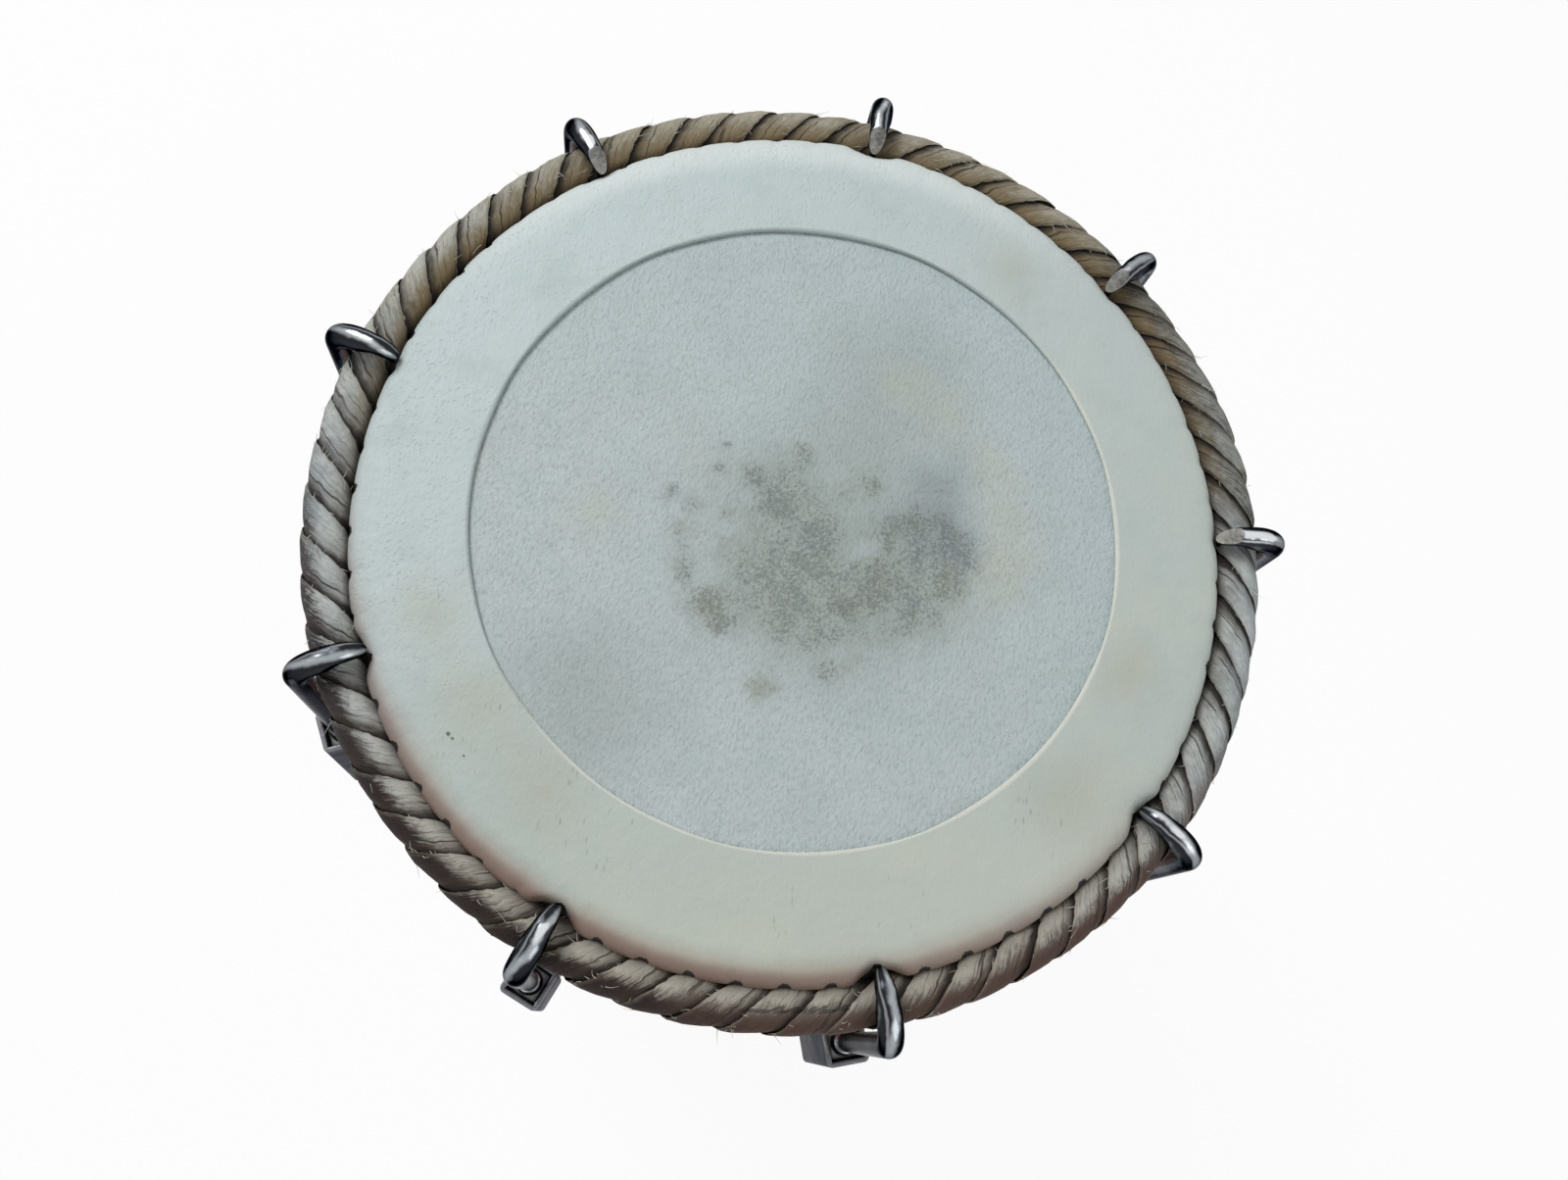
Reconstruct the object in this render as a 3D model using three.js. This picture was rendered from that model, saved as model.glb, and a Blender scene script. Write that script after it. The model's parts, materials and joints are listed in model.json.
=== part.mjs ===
import * as THREE from 'three';

// A dholak: a barrel drum with a skin over each end. Nine rods hooked on the
// two rims pull the heads together, and a turnbuckle in each rod tunes it.
// Millimetres, +Z up, bass head on top. The origin is on the drum's axis, level
// with the lowest bends of the treble hooks, on which the drum stands.

// Barrel
const headSpacing = 430;
const bassHeadRadius = 107.4;
const trebleHeadRadius = 89;
const bellyRadius = 130.5;
const bellyDepth = 200;
const shellWall = 11;
const rimSeat = 15;

// Skins, and the clearance between pieces that touch
const fit = 0.3;
const skinThickness = 1;
const collarThickness = 0.9;
const collarWidth = 27.5;
const skinFold = 5;
const skinDrop = 13;
const pasteRadius = 39;
const pasteThickness = 2.4;
const pasteEdge = 9;
const pasteOffsetX = 7;
const pasteOffsetY = -9.5;

// Rims: an iron hoop with a rawhide strap wound round it
const hoopDiameter = 6;
const strapThickness = 3;
const braidDrop = 7.4;
const lacingGap = 1.6;
const lacingAngle = THREE.MathUtils.degToRad(135);

// Tension rods
const rodCount = 9;
const firstRodAngle = THREE.MathUtils.degToRad(5);
const rodDiameter = 6;
const noseDepth = 3.2;
const noseLength = 4.7;
const noseThickness = 1;
const noseWidth = 2.4;
const rimBendShare = 0.83;
const noseBendShare = 0.42;
const rodEndGap = 2;
const neckLength = 8;
const neckBend = 60;
const bellyBend = 250;

// Turnbuckles: square tubes with a nut set back in each mouth
const sleeveDepth = 72;
const sleeveLength = 60;
const sleeveWall = 1.5;
const sleeveCorner = 1.6;
const turnClearance = 0.6;
const nutWall = 0.9;
const nutLength = 8;
const nutInset = 4;

// Facets
const ringSegments = 54;
const rodSides = 8;
const bendSteps = 5;
const bulgeSteps = 5;
const boreSteps = 3;
const foldSteps = 2;
const gentleSteps = 3;
const strapSides = 9;
const hoopSides = 6;
const pasteSegments = 36;
const cornerSteps = 2;
const clearSamples = 24;

// Sizes that follow from the ones above
const rodRadius = rodDiameter / 2;
const hoopRadius = hoopDiameter / 2;
const braidRadius = hoopRadius + fit + strapThickness;
const rimReach = braidRadius + fit + rodRadius;
const hookRise = rimReach + rodRadius - braidDrop;
const treblePlane = hookRise;
const bassPlane = treblePlane + headSpacing;
const bellyLevel = bassPlane - bellyDepth;
const nutWidth = rodDiameter + 2 * (fit + nutWall);
const sleeveBore = nutWidth + 2 * fit;
const sleeveWidth = sleeveBore + 2 * sleeveWall;
const sleeveReach = Math.hypot(sleeveWidth / 2, sleeveWidth / 2) - sleeveCorner * (Math.SQRT2 - 1);

// One head: how thick its skins lie on the shell, and where its rim runs.
// Depths are counted from the playing plane towards the middle of the drum.
function headSizes(plane, inward, radius, layers) {
  const stack = layers.reduce((sum, layer) => sum + layer + fit, 0);
  return {
    plane,
    inward,
    radius,
    stack,
    shellRadius: radius - stack,
    rimRadius: radius + fit + braidRadius,
  };
}

const bass = headSizes(bassPlane, -1, bassHeadRadius, [collarThickness, skinThickness]);
const treble = headSizes(treblePlane, 1, trebleHeadRadius, [skinThickness]);

const level = (head, depth) => head.plane + head.inward * depth;
const onHead = (head, radius, depth) => new THREE.Vector2(radius, level(head, depth));

// The barrel swells from each rim seat to the belly along a parabola
function barrelRadius(z) {
  const head = z > bellyLevel ? bass : treble;
  const seat = level(head, rimSeat);
  const share = THREE.MathUtils.clamp((z - bellyLevel) / (seat - bellyLevel), 0, 1);
  return bellyRadius - (bellyRadius - head.shellRadius) * share ** 2;
}

const levels = (from, to, steps) => (
  Array.from({ length: steps + 1 }, (_, step) => THREE.MathUtils.lerp(from, to, step / steps))
);

// Turns a closed profile of radii and heights about the drum's axis, with
// facet corners on the rods' own angles
function turned(profile, segments = ringSegments) {
  const clockwise = THREE.ShapeUtils.isClockWise(profile);
  const outward = clockwise ? [...profile].reverse() : [...profile];
  const closes = profile[0].x > 0;
  const points = closes ? [...outward, outward[0]] : outward;
  const geometry = new THREE.LatheGeometry(points, segments, firstRodAngle + Math.PI / 2);
  return geometry.rotateX(Math.PI / 2);
}

// Points round the fold of a skin over the shell's end, from the flat to the side
function foldPoints(head, depth) {
  const radius = skinFold - depth;
  return levels(0, Math.PI / 2, foldSteps).map((angle) => onHead(
    head,
    head.radius - skinFold + radius * Math.sin(angle),
    skinFold - radius * Math.cos(angle),
  ));
}

function barrelShell() {
  const mouth = (head) => onHead(head, head.shellRadius - shellWall, head.stack);
  const swell = (head, steps, wall) => (
    levels(level(head, rimSeat), bellyLevel, steps)
      .map((z) => new THREE.Vector2(barrelRadius(z) - wall, z))
  );
  const outside = [
    ...foldPoints(bass, bass.stack),
    ...swell(bass, bulgeSteps, 0),
    ...swell(treble, bulgeSteps, 0).reverse().slice(1),
    ...foldPoints(treble, treble.stack).reverse(),
  ];
  const bore = [
    mouth(treble),
    ...swell(treble, boreSteps, shellWall),
    ...swell(bass, boreSteps, shellWall).reverse().slice(1),
    mouth(bass),
  ];
  return turned([...outside, ...bore]);
}

// A skin that lies over the shell's end and comes down its side. Its middle is
// solid, or open out to the radius given.
function skin(head, depth, thickness, openRadius = 0) {
  const under = depth + thickness;
  return turned([
    onHead(head, openRadius, depth),
    ...foldPoints(head, depth),
    onHead(head, head.radius - depth, skinDrop),
    onHead(head, head.radius - under, skinDrop),
    ...foldPoints(head, under).reverse(),
    onHead(head, openRadius, under),
  ]);
}

const pasteDepth = collarThickness + fit + skinThickness + fit;

function tuningPaste() {
  const geometry = turned([
    onHead(bass, 0, pasteDepth),
    onHead(bass, pasteRadius, pasteDepth),
    onHead(bass, pasteRadius - pasteEdge, pasteDepth + pasteThickness),
    onHead(bass, 0, pasteDepth + pasteThickness),
  ], pasteSegments);
  return geometry.translate(pasteOffsetX, pasteOffsetY, 0);
}

const circlePoints = (radius, from, to, steps) => levels(from, to, steps).map((angle) => (
  new THREE.Vector2(radius * Math.cos(angle), radius * Math.sin(angle))
));

function hoop(head) {
  const section = circlePoints(hoopRadius, 0, 2 * Math.PI, hoopSides).slice(1);
  return turned(section.map((point) => point.add(onHead(head, head.rimRadius, braidDrop))));
}

// The wound strap is a tube round the hoop, open where the lacing goes through
// to the skins, low on its inner side
function braid(head) {
  const inner = (hoopRadius + fit) / Math.cos(Math.PI / hoopSides);
  const slot = Math.asin(lacingGap / 2 / inner);
  const section = [
    ...circlePoints(braidRadius, slot, 2 * Math.PI - slot, strapSides),
    ...circlePoints(inner, slot, 2 * Math.PI - slot, hoopSides).reverse(),
  ];
  const turn = head.inward * lacingAngle;
  const centre = onHead(head, head.rimRadius, braidDrop);
  const middle = new THREE.Vector2();
  return turned(section.map((point) => point.rotateAround(middle, turn).add(centre)));
}

// A straight line in the plane of one rod, as a point and a slope of radius
// over height
const lineAt = (line, z) => line.point.x + line.slope * (z - line.point.y);

function meet(first, second) {
  const rise = lineAt(second, 0) - lineAt(first, 0);
  const z = rise / (first.slope - second.slope);
  return new THREE.Vector2(lineAt(first, z), z);
}

// The line from a point that just clears the barrel between two heights
function clearingLine(point, gap, from, to) {
  const slopes = levels(from, to, clearSamples)
    .map((z) => (barrelRadius(z) + gap - point.x) / Math.abs(z - point.y));
  return { point, slope: Math.max(...slopes) * Math.sign(to - point.y) };
}

const rimPoint = (head) => onHead(head, head.rimRadius + rimReach, braidDrop);

// The sleeve lies along the line that the bass hook's shank takes past the
// barrel's flank, out far enough for its corners to turn
const sleeveLine = clearingLine(
  rimPoint(bass),
  sleeveReach + turnClearance,
  level(bass, sleeveDepth),
  level(bass, sleeveDepth + sleeveLength),
);
const sleeveLean = Math.atan(sleeveLine.slope);
const sleeveMouth = onHead(bass, lineAt(sleeveLine, level(bass, sleeveDepth)), sleeveDepth);
const alongSleeve = (distance) => new THREE.Vector2(
  sleeveMouth.x - distance * Math.sin(sleeveLean),
  sleeveMouth.y - distance * Math.cos(sleeveLean),
);

// The wedge of room between the skin's edge and the braid takes the hook's nose
function noseRadius(head) {
  const skinEdge = head.radius - skinFold + Math.sqrt(skinFold ** 2 - (skinFold - noseDepth) ** 2);
  const braidEdge = head.rimRadius - Math.sqrt(braidRadius ** 2 - (braidDrop - noseDepth) ** 2);
  return (skinEdge + braidEdge) / 2;
}

// Corners of a hook over the rim, from its nose to the top of its shank
function hookCorners(head, shank) {
  const top = level(head, braidDrop - rimReach);
  return [
    { at: onHead(head, noseRadius(head), noseDepth) },
    { at: new THREE.Vector2(noseRadius(head), top), radius: rimReach * noseBendShare, steps: bendSteps },
    { at: new THREE.Vector2(lineAt(shank, top), top), radius: rimReach * rimBendShare, steps: bendSteps },
  ];
}

// Rounds the corners of a bent rod and gives the stations along its middle
function bentPath(corners) {
  const path = [];
  corners.forEach((corner, index) => {
    if (!corner.radius) {
      path.push(corner.at);
      return;
    }
    const back = corners[index - 1].at.clone().sub(corner.at).normalize();
    const ahead = corners[index + 1].at.clone().sub(corner.at).normalize();
    const half = back.angleTo(ahead) / 2;
    const centre = back.clone().add(ahead).setLength(corner.radius / Math.sin(half)).add(corner.at);
    const start = back.clone().setLength(corner.radius / Math.tan(half)).add(corner.at);
    const sweep = Math.sign(back.cross(ahead)) * (2 * half - Math.PI);
    levels(0, sweep, corner.steps).forEach((angle) => {
      path.push(start.clone().rotateAround(centre, angle));
    });
  });
  return path.map((point) => new THREE.Vector3(point.x, 0, point.y));
}

// A curve whose stations are exactly the points given
class RodPath extends THREE.Curve {
  constructor(stations) {
    super();
    this.stations = stations;
  }

  station(share) {
    return Math.round(share * (this.stations.length - 1));
  }

  getPointAt(share, target = new THREE.Vector3()) {
    return target.copy(this.stations[this.station(share)]);
  }

  getTangentAt(share, target = new THREE.Vector3()) {
    const index = this.station(share);
    const here = this.stations[index];
    const before = this.stations[index - 1] ?? here;
    const after = this.stations[index + 1] ?? here;
    const arriving = here.clone().sub(before).normalize();
    const leaving = after.clone().sub(here).normalize();
    return target.copy(arriving).add(leaving).normalize();
  }
}

// The nose of a hook is hammered flat and drawn out to a point, to go down
// between the skin and the braid
function flattenNose(geometry, head) {
  const position = geometry.attributes.position;
  const middle = noseRadius(head);
  for (let index = 0; index < position.count; index += 1) {
    const radius = position.getX(index);
    const depth = (position.getZ(index) - head.plane) * head.inward;
    const share = (depth - noseDepth + noseLength) / noseLength;
    if (share > 0 && radius < head.rimRadius) {
      const flatten = 1 - share * (1 - noseThickness / rodDiameter);
      const narrow = 1 - share * (1 - noseWidth / rodDiameter);
      position.setX(index, middle + (radius - middle) * flatten);
      position.setY(index, position.getY(index) * narrow);
    }
  }
  return geometry;
}

function bentRod(corners, head) {
  const stations = bentPath(corners);
  const section = new THREE.Shape(
    circlePoints(rodRadius, 0, 2 * Math.PI, rodSides).slice(1),
  );
  const geometry = new THREE.ExtrudeGeometry(section, {
    steps: stations.length - 1,
    bevelEnabled: false,
    extrudePath: new RodPath(stations),
  });
  return flattenNose(geometry, head);
}

function bassHook() {
  const end = alongSleeve((sleeveLength - rodEndGap) / 2);
  return bentRod([...hookCorners(bass, sleeveLine), { at: end }], bass);
}

// The long rod leaves the sleeve, bends back to the belly, lies over it and
// runs straight on to the treble rim
function trebleHook() {
  const neck = alongSleeve(sleeveLength + neckLength);
  const gap = rodRadius + fit;
  const shank = clearingLine(rimPoint(treble), gap, level(treble, rimSeat), neck.y);
  const flank = clearingLine(neck, gap, neck.y - neckLength, level(treble, rimSeat));
  const corners = [
    ...hookCorners(treble, shank),
    { at: meet(shank, flank), radius: bellyBend, steps: gentleSteps },
    { at: neck, radius: neckBend, steps: gentleSteps },
    { at: alongSleeve((sleeveLength + rodEndGap) / 2) },
  ];
  return bentRod(corners, treble);
}

function squareOutline(width, corner) {
  const half = width / 2;
  const shape = new THREE.Shape();
  shape.moveTo(half, corner - half);
  shape.lineTo(half, half - corner);
  shape.absarc(half - corner, half - corner, corner, 0, Math.PI / 2);
  shape.lineTo(corner - half, half);
  shape.absarc(corner - half, half - corner, corner, Math.PI / 2, Math.PI);
  shape.lineTo(-half, corner - half);
  shape.absarc(corner - half, corner - half, corner, Math.PI, 1.5 * Math.PI);
  shape.lineTo(half - corner, -half);
  shape.absarc(half - corner, corner - half, corner, 1.5 * Math.PI, 2 * Math.PI);
  return shape;
}

const extruded = (shape, length) => new THREE.ExtrudeGeometry(shape, {
  depth: length,
  bevelEnabled: false,
  curveSegments: cornerSteps,
});

function sleeve() {
  const shape = squareOutline(sleeveWidth, sleeveCorner);
  const half = sleeveBore / 2;
  shape.holes.push(new THREE.Path([
    new THREE.Vector2(-half, -half),
    new THREE.Vector2(-half, half),
    new THREE.Vector2(half, half),
    new THREE.Vector2(half, -half),
  ]));
  return extruded(shape, sleeveLength);
}

function nut() {
  const half = nutWidth / 2;
  const shape = new THREE.Shape([
    new THREE.Vector2(-half, -half),
    new THREE.Vector2(half, -half),
    new THREE.Vector2(half, half),
    new THREE.Vector2(-half, half),
  ]);
  const thread = circlePoints(rodRadius + fit, 0, 2 * Math.PI, rodSides).slice(1);
  shape.holes.push(new THREE.Path(thread));
  return extruded(shape, nutLength);
}

const finish = (color, roughness, metalness = 0) => (
  new THREE.MeshStandardMaterial({ color, roughness, metalness })
);

const finishes = {
  wood: finish(0x6f3a20, 0.35),
  playingSkin: finish(0xcfccc2, 0.45),
  collarSkin: finish(0xdedbd0, 0.35),
  paste: finish(0x2b2622, 0.9),
  iron: finish(0x4c4744, 0.6, 0.8),
  rawhide: finish(0x9b8466, 0.7),
  chrome: finish(0xc9cacd, 0.16, 1),
  tube: finish(0x55565a, 0.35, 0.9),
  zinc: finish(0x9a9a94, 0.45, 0.9),
};

function piece(name, geometry, material) {
  const mesh = new THREE.Mesh(geometry, material);
  mesh.name = name;
  return mesh;
}

const dholak = new THREE.Group();
dholak.add(
  piece('barrel_shell', barrelShell(), finishes.wood),
  piece('bass_skin', skin(bass, collarThickness + fit, skinThickness), finishes.playingSkin),
  piece(
    'bass_collar_skin',
    skin(bass, 0, collarThickness, bassHeadRadius - collarWidth),
    finishes.collarSkin,
  ),
  piece('bass_tuning_paste', tuningPaste(), finishes.paste),
  piece('bass_hoop', hoop(bass), finishes.iron),
  piece('bass_braid', braid(bass), finishes.rawhide),
  piece('treble_skin', skin(treble, 0, skinThickness), finishes.playingSkin),
  piece('treble_hoop', hoop(treble), finishes.iron),
  piece('treble_braid', braid(treble), finishes.rawhide),
);

const bassHookGeometry = bassHook();
const trebleHookGeometry = trebleHook();
const sleeveGeometry = sleeve();
const nutGeometry = nut();

for (let index = 0; index < rodCount; index += 1) {
  const number = index + 1;
  const rod = new THREE.Group();
  rod.rotation.z = firstRodAngle + (2 * Math.PI * index) / rodCount;
  rod.add(
    piece(`bass_hook_${number}`, bassHookGeometry, finishes.chrome),
    piece(`treble_hook_${number}`, trebleHookGeometry, finishes.chrome),
  );

  const turnbuckle = new THREE.Group();
  turnbuckle.position.set(sleeveMouth.x, 0, sleeveMouth.y);
  turnbuckle.rotation.y = Math.PI + sleeveLean;
  const bassNut = piece(`bass_nut_${number}`, nutGeometry, finishes.zinc);
  const trebleNut = piece(`treble_nut_${number}`, nutGeometry, finishes.zinc);
  bassNut.position.z = nutInset;
  trebleNut.position.z = sleeveLength - nutInset - nutLength;
  turnbuckle.add(
    piece(`turnbuckle_${number}`, sleeveGeometry, finishes.tube),
    bassNut,
    trebleNut,
  );
  rod.add(turnbuckle);
  dholak.add(rod);
}

export default dholak;
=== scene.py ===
# %% [markdown]
# # A dholak
# A dholak is a barrel drum with a skin on each end. The frame holds its construction: the barrel,
# the skins, the rims and the nine tension rods, at their real sizes. This lesson models each piece
# again with a fine surface, in the same place, and gives it its finish.

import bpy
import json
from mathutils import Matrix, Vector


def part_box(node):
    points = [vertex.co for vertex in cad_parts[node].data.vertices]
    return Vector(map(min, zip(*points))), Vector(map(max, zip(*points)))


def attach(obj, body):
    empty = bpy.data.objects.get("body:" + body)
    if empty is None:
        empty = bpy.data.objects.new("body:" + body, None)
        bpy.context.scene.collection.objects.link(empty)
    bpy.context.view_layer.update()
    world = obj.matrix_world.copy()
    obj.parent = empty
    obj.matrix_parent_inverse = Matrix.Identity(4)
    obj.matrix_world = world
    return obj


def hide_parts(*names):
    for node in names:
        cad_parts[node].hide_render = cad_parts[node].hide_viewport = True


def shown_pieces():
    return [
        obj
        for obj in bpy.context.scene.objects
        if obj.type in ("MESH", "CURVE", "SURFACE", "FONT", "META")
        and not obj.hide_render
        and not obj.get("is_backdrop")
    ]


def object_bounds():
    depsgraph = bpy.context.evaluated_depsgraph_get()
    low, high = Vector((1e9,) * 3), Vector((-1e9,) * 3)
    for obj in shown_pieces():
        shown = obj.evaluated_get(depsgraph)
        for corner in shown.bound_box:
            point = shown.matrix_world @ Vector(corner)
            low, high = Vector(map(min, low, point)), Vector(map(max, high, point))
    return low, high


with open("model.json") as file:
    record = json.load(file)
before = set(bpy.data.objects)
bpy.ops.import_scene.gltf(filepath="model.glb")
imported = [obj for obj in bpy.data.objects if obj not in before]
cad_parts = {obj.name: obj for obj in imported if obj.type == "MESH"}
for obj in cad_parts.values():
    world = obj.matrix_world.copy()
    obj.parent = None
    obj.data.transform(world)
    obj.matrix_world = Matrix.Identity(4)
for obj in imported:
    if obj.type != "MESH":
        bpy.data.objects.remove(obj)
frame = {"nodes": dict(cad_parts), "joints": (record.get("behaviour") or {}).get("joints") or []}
cad_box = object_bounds()
print("pieces in the frame:", len(frame["nodes"]))

# %% [markdown]
# ## Measuring the frame
# A piece of the same drum has to land where the frame says, so its sizes are read from the frame
# and not typed again. A ring is told by how near to the axis and how far from it its corners lie.

# %% Measure the heads
import json
import math
from types import SimpleNamespace

import bpy
import numpy as np
from mathutils import Matrix, Vector

MM = 0.001
TURN = 2 * math.pi


def cad_corners(node):
    """The places of a solid's corners."""
    return [corner.co for corner in frame["nodes"][node].data.vertices]


def radii(node):
    """The smallest and the largest distance of a solid's corners from the drum's axis."""
    reach = [math.hypot(place.x, place.y) for place in cad_corners(node)]
    return min(reach), max(reach)


def head(end, outer_skin, inward):
    """The places on one end of the drum that its skins, rim and hooks share."""
    low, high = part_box(outer_skin)
    hoop_low, hoop_high = radii(f"{end}_hoop")
    ring = (hoop_low + hoop_high) / 2
    return SimpleNamespace(
        end=end,
        inward=inward,
        plane=high.z if inward < 0 else low.z,
        skirt=low.z if inward < 0 else high.z,
        radius=radii(outer_skin)[1],
        ring=ring,
        wire=(hoop_high - hoop_low) / 2,
        level=(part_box(f"{end}_hoop")[0].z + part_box(f"{end}_hoop")[1].z) / 2,
        rim=radii(f"{end}_braid")[1] - ring,
    )


bass = head("bass", "bass_collar_skin", -1)
treble = head("treble", "treble_skin", 1)
for one in (bass, treble):
    print(f"{one.end}: plane {one.plane / MM:.1f}, radius {one.radius / MM:.1f}, "
          f"hoop {one.ring / MM:.1f}, rim {one.rim / MM:.1f} mm")

# %% [markdown]
# ## The camera
# The photograph looks down on the bass head from just in front of the drum. The camera stands
# 272 mm above that head with a wide lens, so the far rim shows its inner side and the near rim
# its outer side. The direction that is up in the picture turns the head as it lies there.

# %% Stand the camera over the head
EYE = Vector((-25.7 * MM, -95.0 * MM, bass.plane + 272.5 * MM))
LOOK_AT = Vector((-2.6 * MM, -18.5 * MM, bass.plane))
PICTURE_TURN = math.radians(5.8)
LENS = 27.07

ahead = (LOOK_AT - EYE).normalized()
right = ahead.cross(Vector((-math.sin(PICTURE_TURN), math.cos(PICTURE_TURN), 0))).normalized()
up = right.cross(ahead)
bpy.ops.object.select_all(action="DESELECT")
bpy.ops.object.camera_add(location=EYE)
camera = bpy.context.object
camera.name = "camera"
camera.matrix_world = Matrix.Translation(EYE) @ Matrix((right, up, -ahead)).transposed().to_4x4()
camera.data.lens = LENS
camera.data.sensor_width = 36
camera.data.clip_start = 10 * MM
bpy.context.scene.camera = camera
print("the eye is", round((EYE - LOOK_AT).length / MM), "mm from the head")

# %% [markdown]
# ## Tools of the workshop
# Every piece is made by the same few steps: something is picked, opened for editing, changed by a
# modifier, and at last cleaned. These steps get short names here.

# %% Pick, edit, change and clean a piece
SEAM = 0.001 * MM


def pick(piece):
    """Makes this piece the only one selected, and the active one."""
    bpy.ops.object.select_all(action="DESELECT")
    piece.select_set(True)
    bpy.context.view_layer.objects.active = piece


def mode(name):
    bpy.ops.object.mode_set(mode=name)


def choose(action):
    """Selects or deselects all of a piece that is open for editing."""
    bpy.ops.mesh.select_all(action=action)


def edit(piece, action="SELECT"):
    pick(piece)
    mode("EDIT")
    choose(action)


def edit_faces(piece, wanted):
    """Opens a piece for editing with the faces selected whose middles are wanted."""
    edit(piece, "DESELECT")
    mode("OBJECT")
    for polygon in piece.data.polygons:
        polygon.select = wanted(polygon.center)
    mode("EDIT")


def named(name):
    """The piece that was just added, under its name."""
    piece = bpy.context.object
    piece.name = name
    piece.data.name = name
    return piece


def apply(piece, kind, **settings):
    """Adds a modifier to a piece and applies it."""
    modifier = piece.modifiers.new(kind.lower(), kind)
    for name, value in settings.items():
        setattr(modifier, name, value)
    pick(piece)
    bpy.ops.object.modifier_apply(modifier=modifier.name)


def place_at(piece, matrix=None):
    """Brings a piece to a place, if one is given, and its origin back to the drum's."""
    if matrix is not None:
        piece.matrix_world = matrix
    pick(piece)
    bpy.ops.object.transform_apply(location=True, rotation=True, scale=True)
    return piece


def fill_holes():
    """Closes the open ends of the piece that is open for editing, and leaves the editing."""
    choose("DESELECT")
    bpy.ops.mesh.select_non_manifold()
    bpy.ops.mesh.fill_holes(sides=0)
    mode("OBJECT")


def join(first, second):
    pick(first)
    second.select_set(True)
    bpy.ops.object.join()
    return first


def clean(piece, sharp=30):
    """Closes the seams, turns the faces outwards and smooths all but the sharp edges."""
    edit(piece)
    bpy.ops.mesh.remove_doubles(threshold=SEAM)
    bpy.ops.mesh.normals_make_consistent(inside=False)
    mode("OBJECT")
    bpy.ops.object.shade_smooth_by_angle(angle=math.radians(sharp))
    return piece


def fit_to(piece, body, node):
    """Lets a finished piece ride on its body in place of one of the frame's solids."""
    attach(piece, body)
    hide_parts(node)
    print(f"{piece.name}: {sum(len(p.vertices) - 2 for p in piece.data.polygons)} triangles")


# %% [markdown]
# ## Turned pieces
# The barrel, the skins and the hoops are round. Each could start from a cylinder or a torus, but
# a drawn outline gives every rounding its own radius. The outline is drawn point by point in a
# plane through the axis and then turned, as on a lathe, with the Screw modifier.

# %% Draw an outline and turn it
def draw(name, points):
    """Draws a line through points, given as radius and height."""
    bpy.ops.object.select_all(action="DESELECT")
    bpy.ops.mesh.primitive_plane_add(size=MM)
    piece = named(name)
    mode("EDIT")
    bpy.ops.mesh.merge(type="CENTER")
    bpy.ops.transform.translate(value=(points[0][0], 0, points[0][1]))
    for (x, z), (next_x, next_z) in zip(points, points[1:]):
        step = {"value": (next_x - x, 0, next_z - z)}
        bpy.ops.mesh.extrude_vertices_move(TRANSFORM_OT_translate=step)
    choose("SELECT")
    bpy.ops.mesh.remove_doubles(threshold=SEAM)
    mode("OBJECT")
    return piece


def turned(name, points, steps):
    """Turns an outline about the drum's axis."""
    piece = draw(name, points)
    apply(piece, "SCREW", axis="Z", angle=TURN, steps=steps, render_steps=steps,
          use_merge_vertices=True, merge_threshold=SEAM)
    return clean(piece)


def arc(centre, radius, start, end, steps):
    """Points round a circle in the plane of radius and height. The angles are in degrees."""
    angles = np.radians(np.linspace(start, end, steps + 1))
    return [(centre[0] + radius * math.cos(a), centre[1] + radius * math.sin(a)) for a in angles]


def on(head, radius, depth):
    """A point of an outline: its radius, and its depth under the plane of a head."""
    return (radius, head.plane + head.inward * depth)


# %% [markdown]
# ## The barrel
# The barrel is one log, turned outside and hollowed. It swells to the belly along a parabola and
# ends under the skins in a rounded edge. First the frame tells how thick the skins lie on it.

# %% Measure the barrel and the layers on it
FOLD = 5 * MM
SEAT = 15 * MM
WALL = 11 * MM


def layer(node, head):
    """How deep under its head's plane a skin lies, and how thick it is, where it is flat."""
    inner = radii(node)[0] + 0.1 * MM
    flat = [place.z for place in cad_corners(node) if math.hypot(place.x, place.y) < inner]
    depths = sorted(abs(z - head.plane) for z in (min(flat), max(flat)))
    return depths[0], depths[1] - depths[0]


collar_depth, collar_thickness = layer("bass_collar_skin", bass)
bass_depth, bass_thickness = layer("bass_skin", bass)
treble_depth, treble_thickness = layer("treble_skin", treble)
FIT = bass_depth - collar_thickness
bass.stack = bass_depth + bass_thickness + FIT
treble.stack = treble_thickness + FIT
belly = max(cad_corners("barrel_shell"), key=lambda place: math.hypot(place.x, place.y))
belly_level = belly.z
belly_radius = math.hypot(belly.x, belly.y)
bass_seat = bass.plane - SEAT
treble_seat = treble.plane + SEAT


def barrel_radius(z):
    """The parabola that the barrel follows between its belly and the two seats of its rims."""
    one = bass if z > belly_level else treble
    seat = one.plane + one.inward * SEAT
    share = min(1, (z - belly_level) / (seat - belly_level))
    return belly_radius - (belly_radius - one.radius + one.stack) * share ** 2


def fold(head, depth, steps=8, corner=FOLD):
    """Points round the edge of a head, from its flat to its side, this deep under the plane."""
    radius = corner - depth
    angles = np.linspace(0, math.pi / 2, steps + 1)
    return [on(head, head.radius - corner + radius * math.sin(a), corner - radius * math.cos(a))
            for a in angles]


print(f"belly {belly_radius / MM:.1f} mm at {belly_level / MM:.1f} mm")

# %% [markdown]
# Three fine lines, cut by the turner's tool, run round the barrel near each end. Each line is a
# small groove in the outline. The outline goes down the outside and back up the bore.

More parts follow.
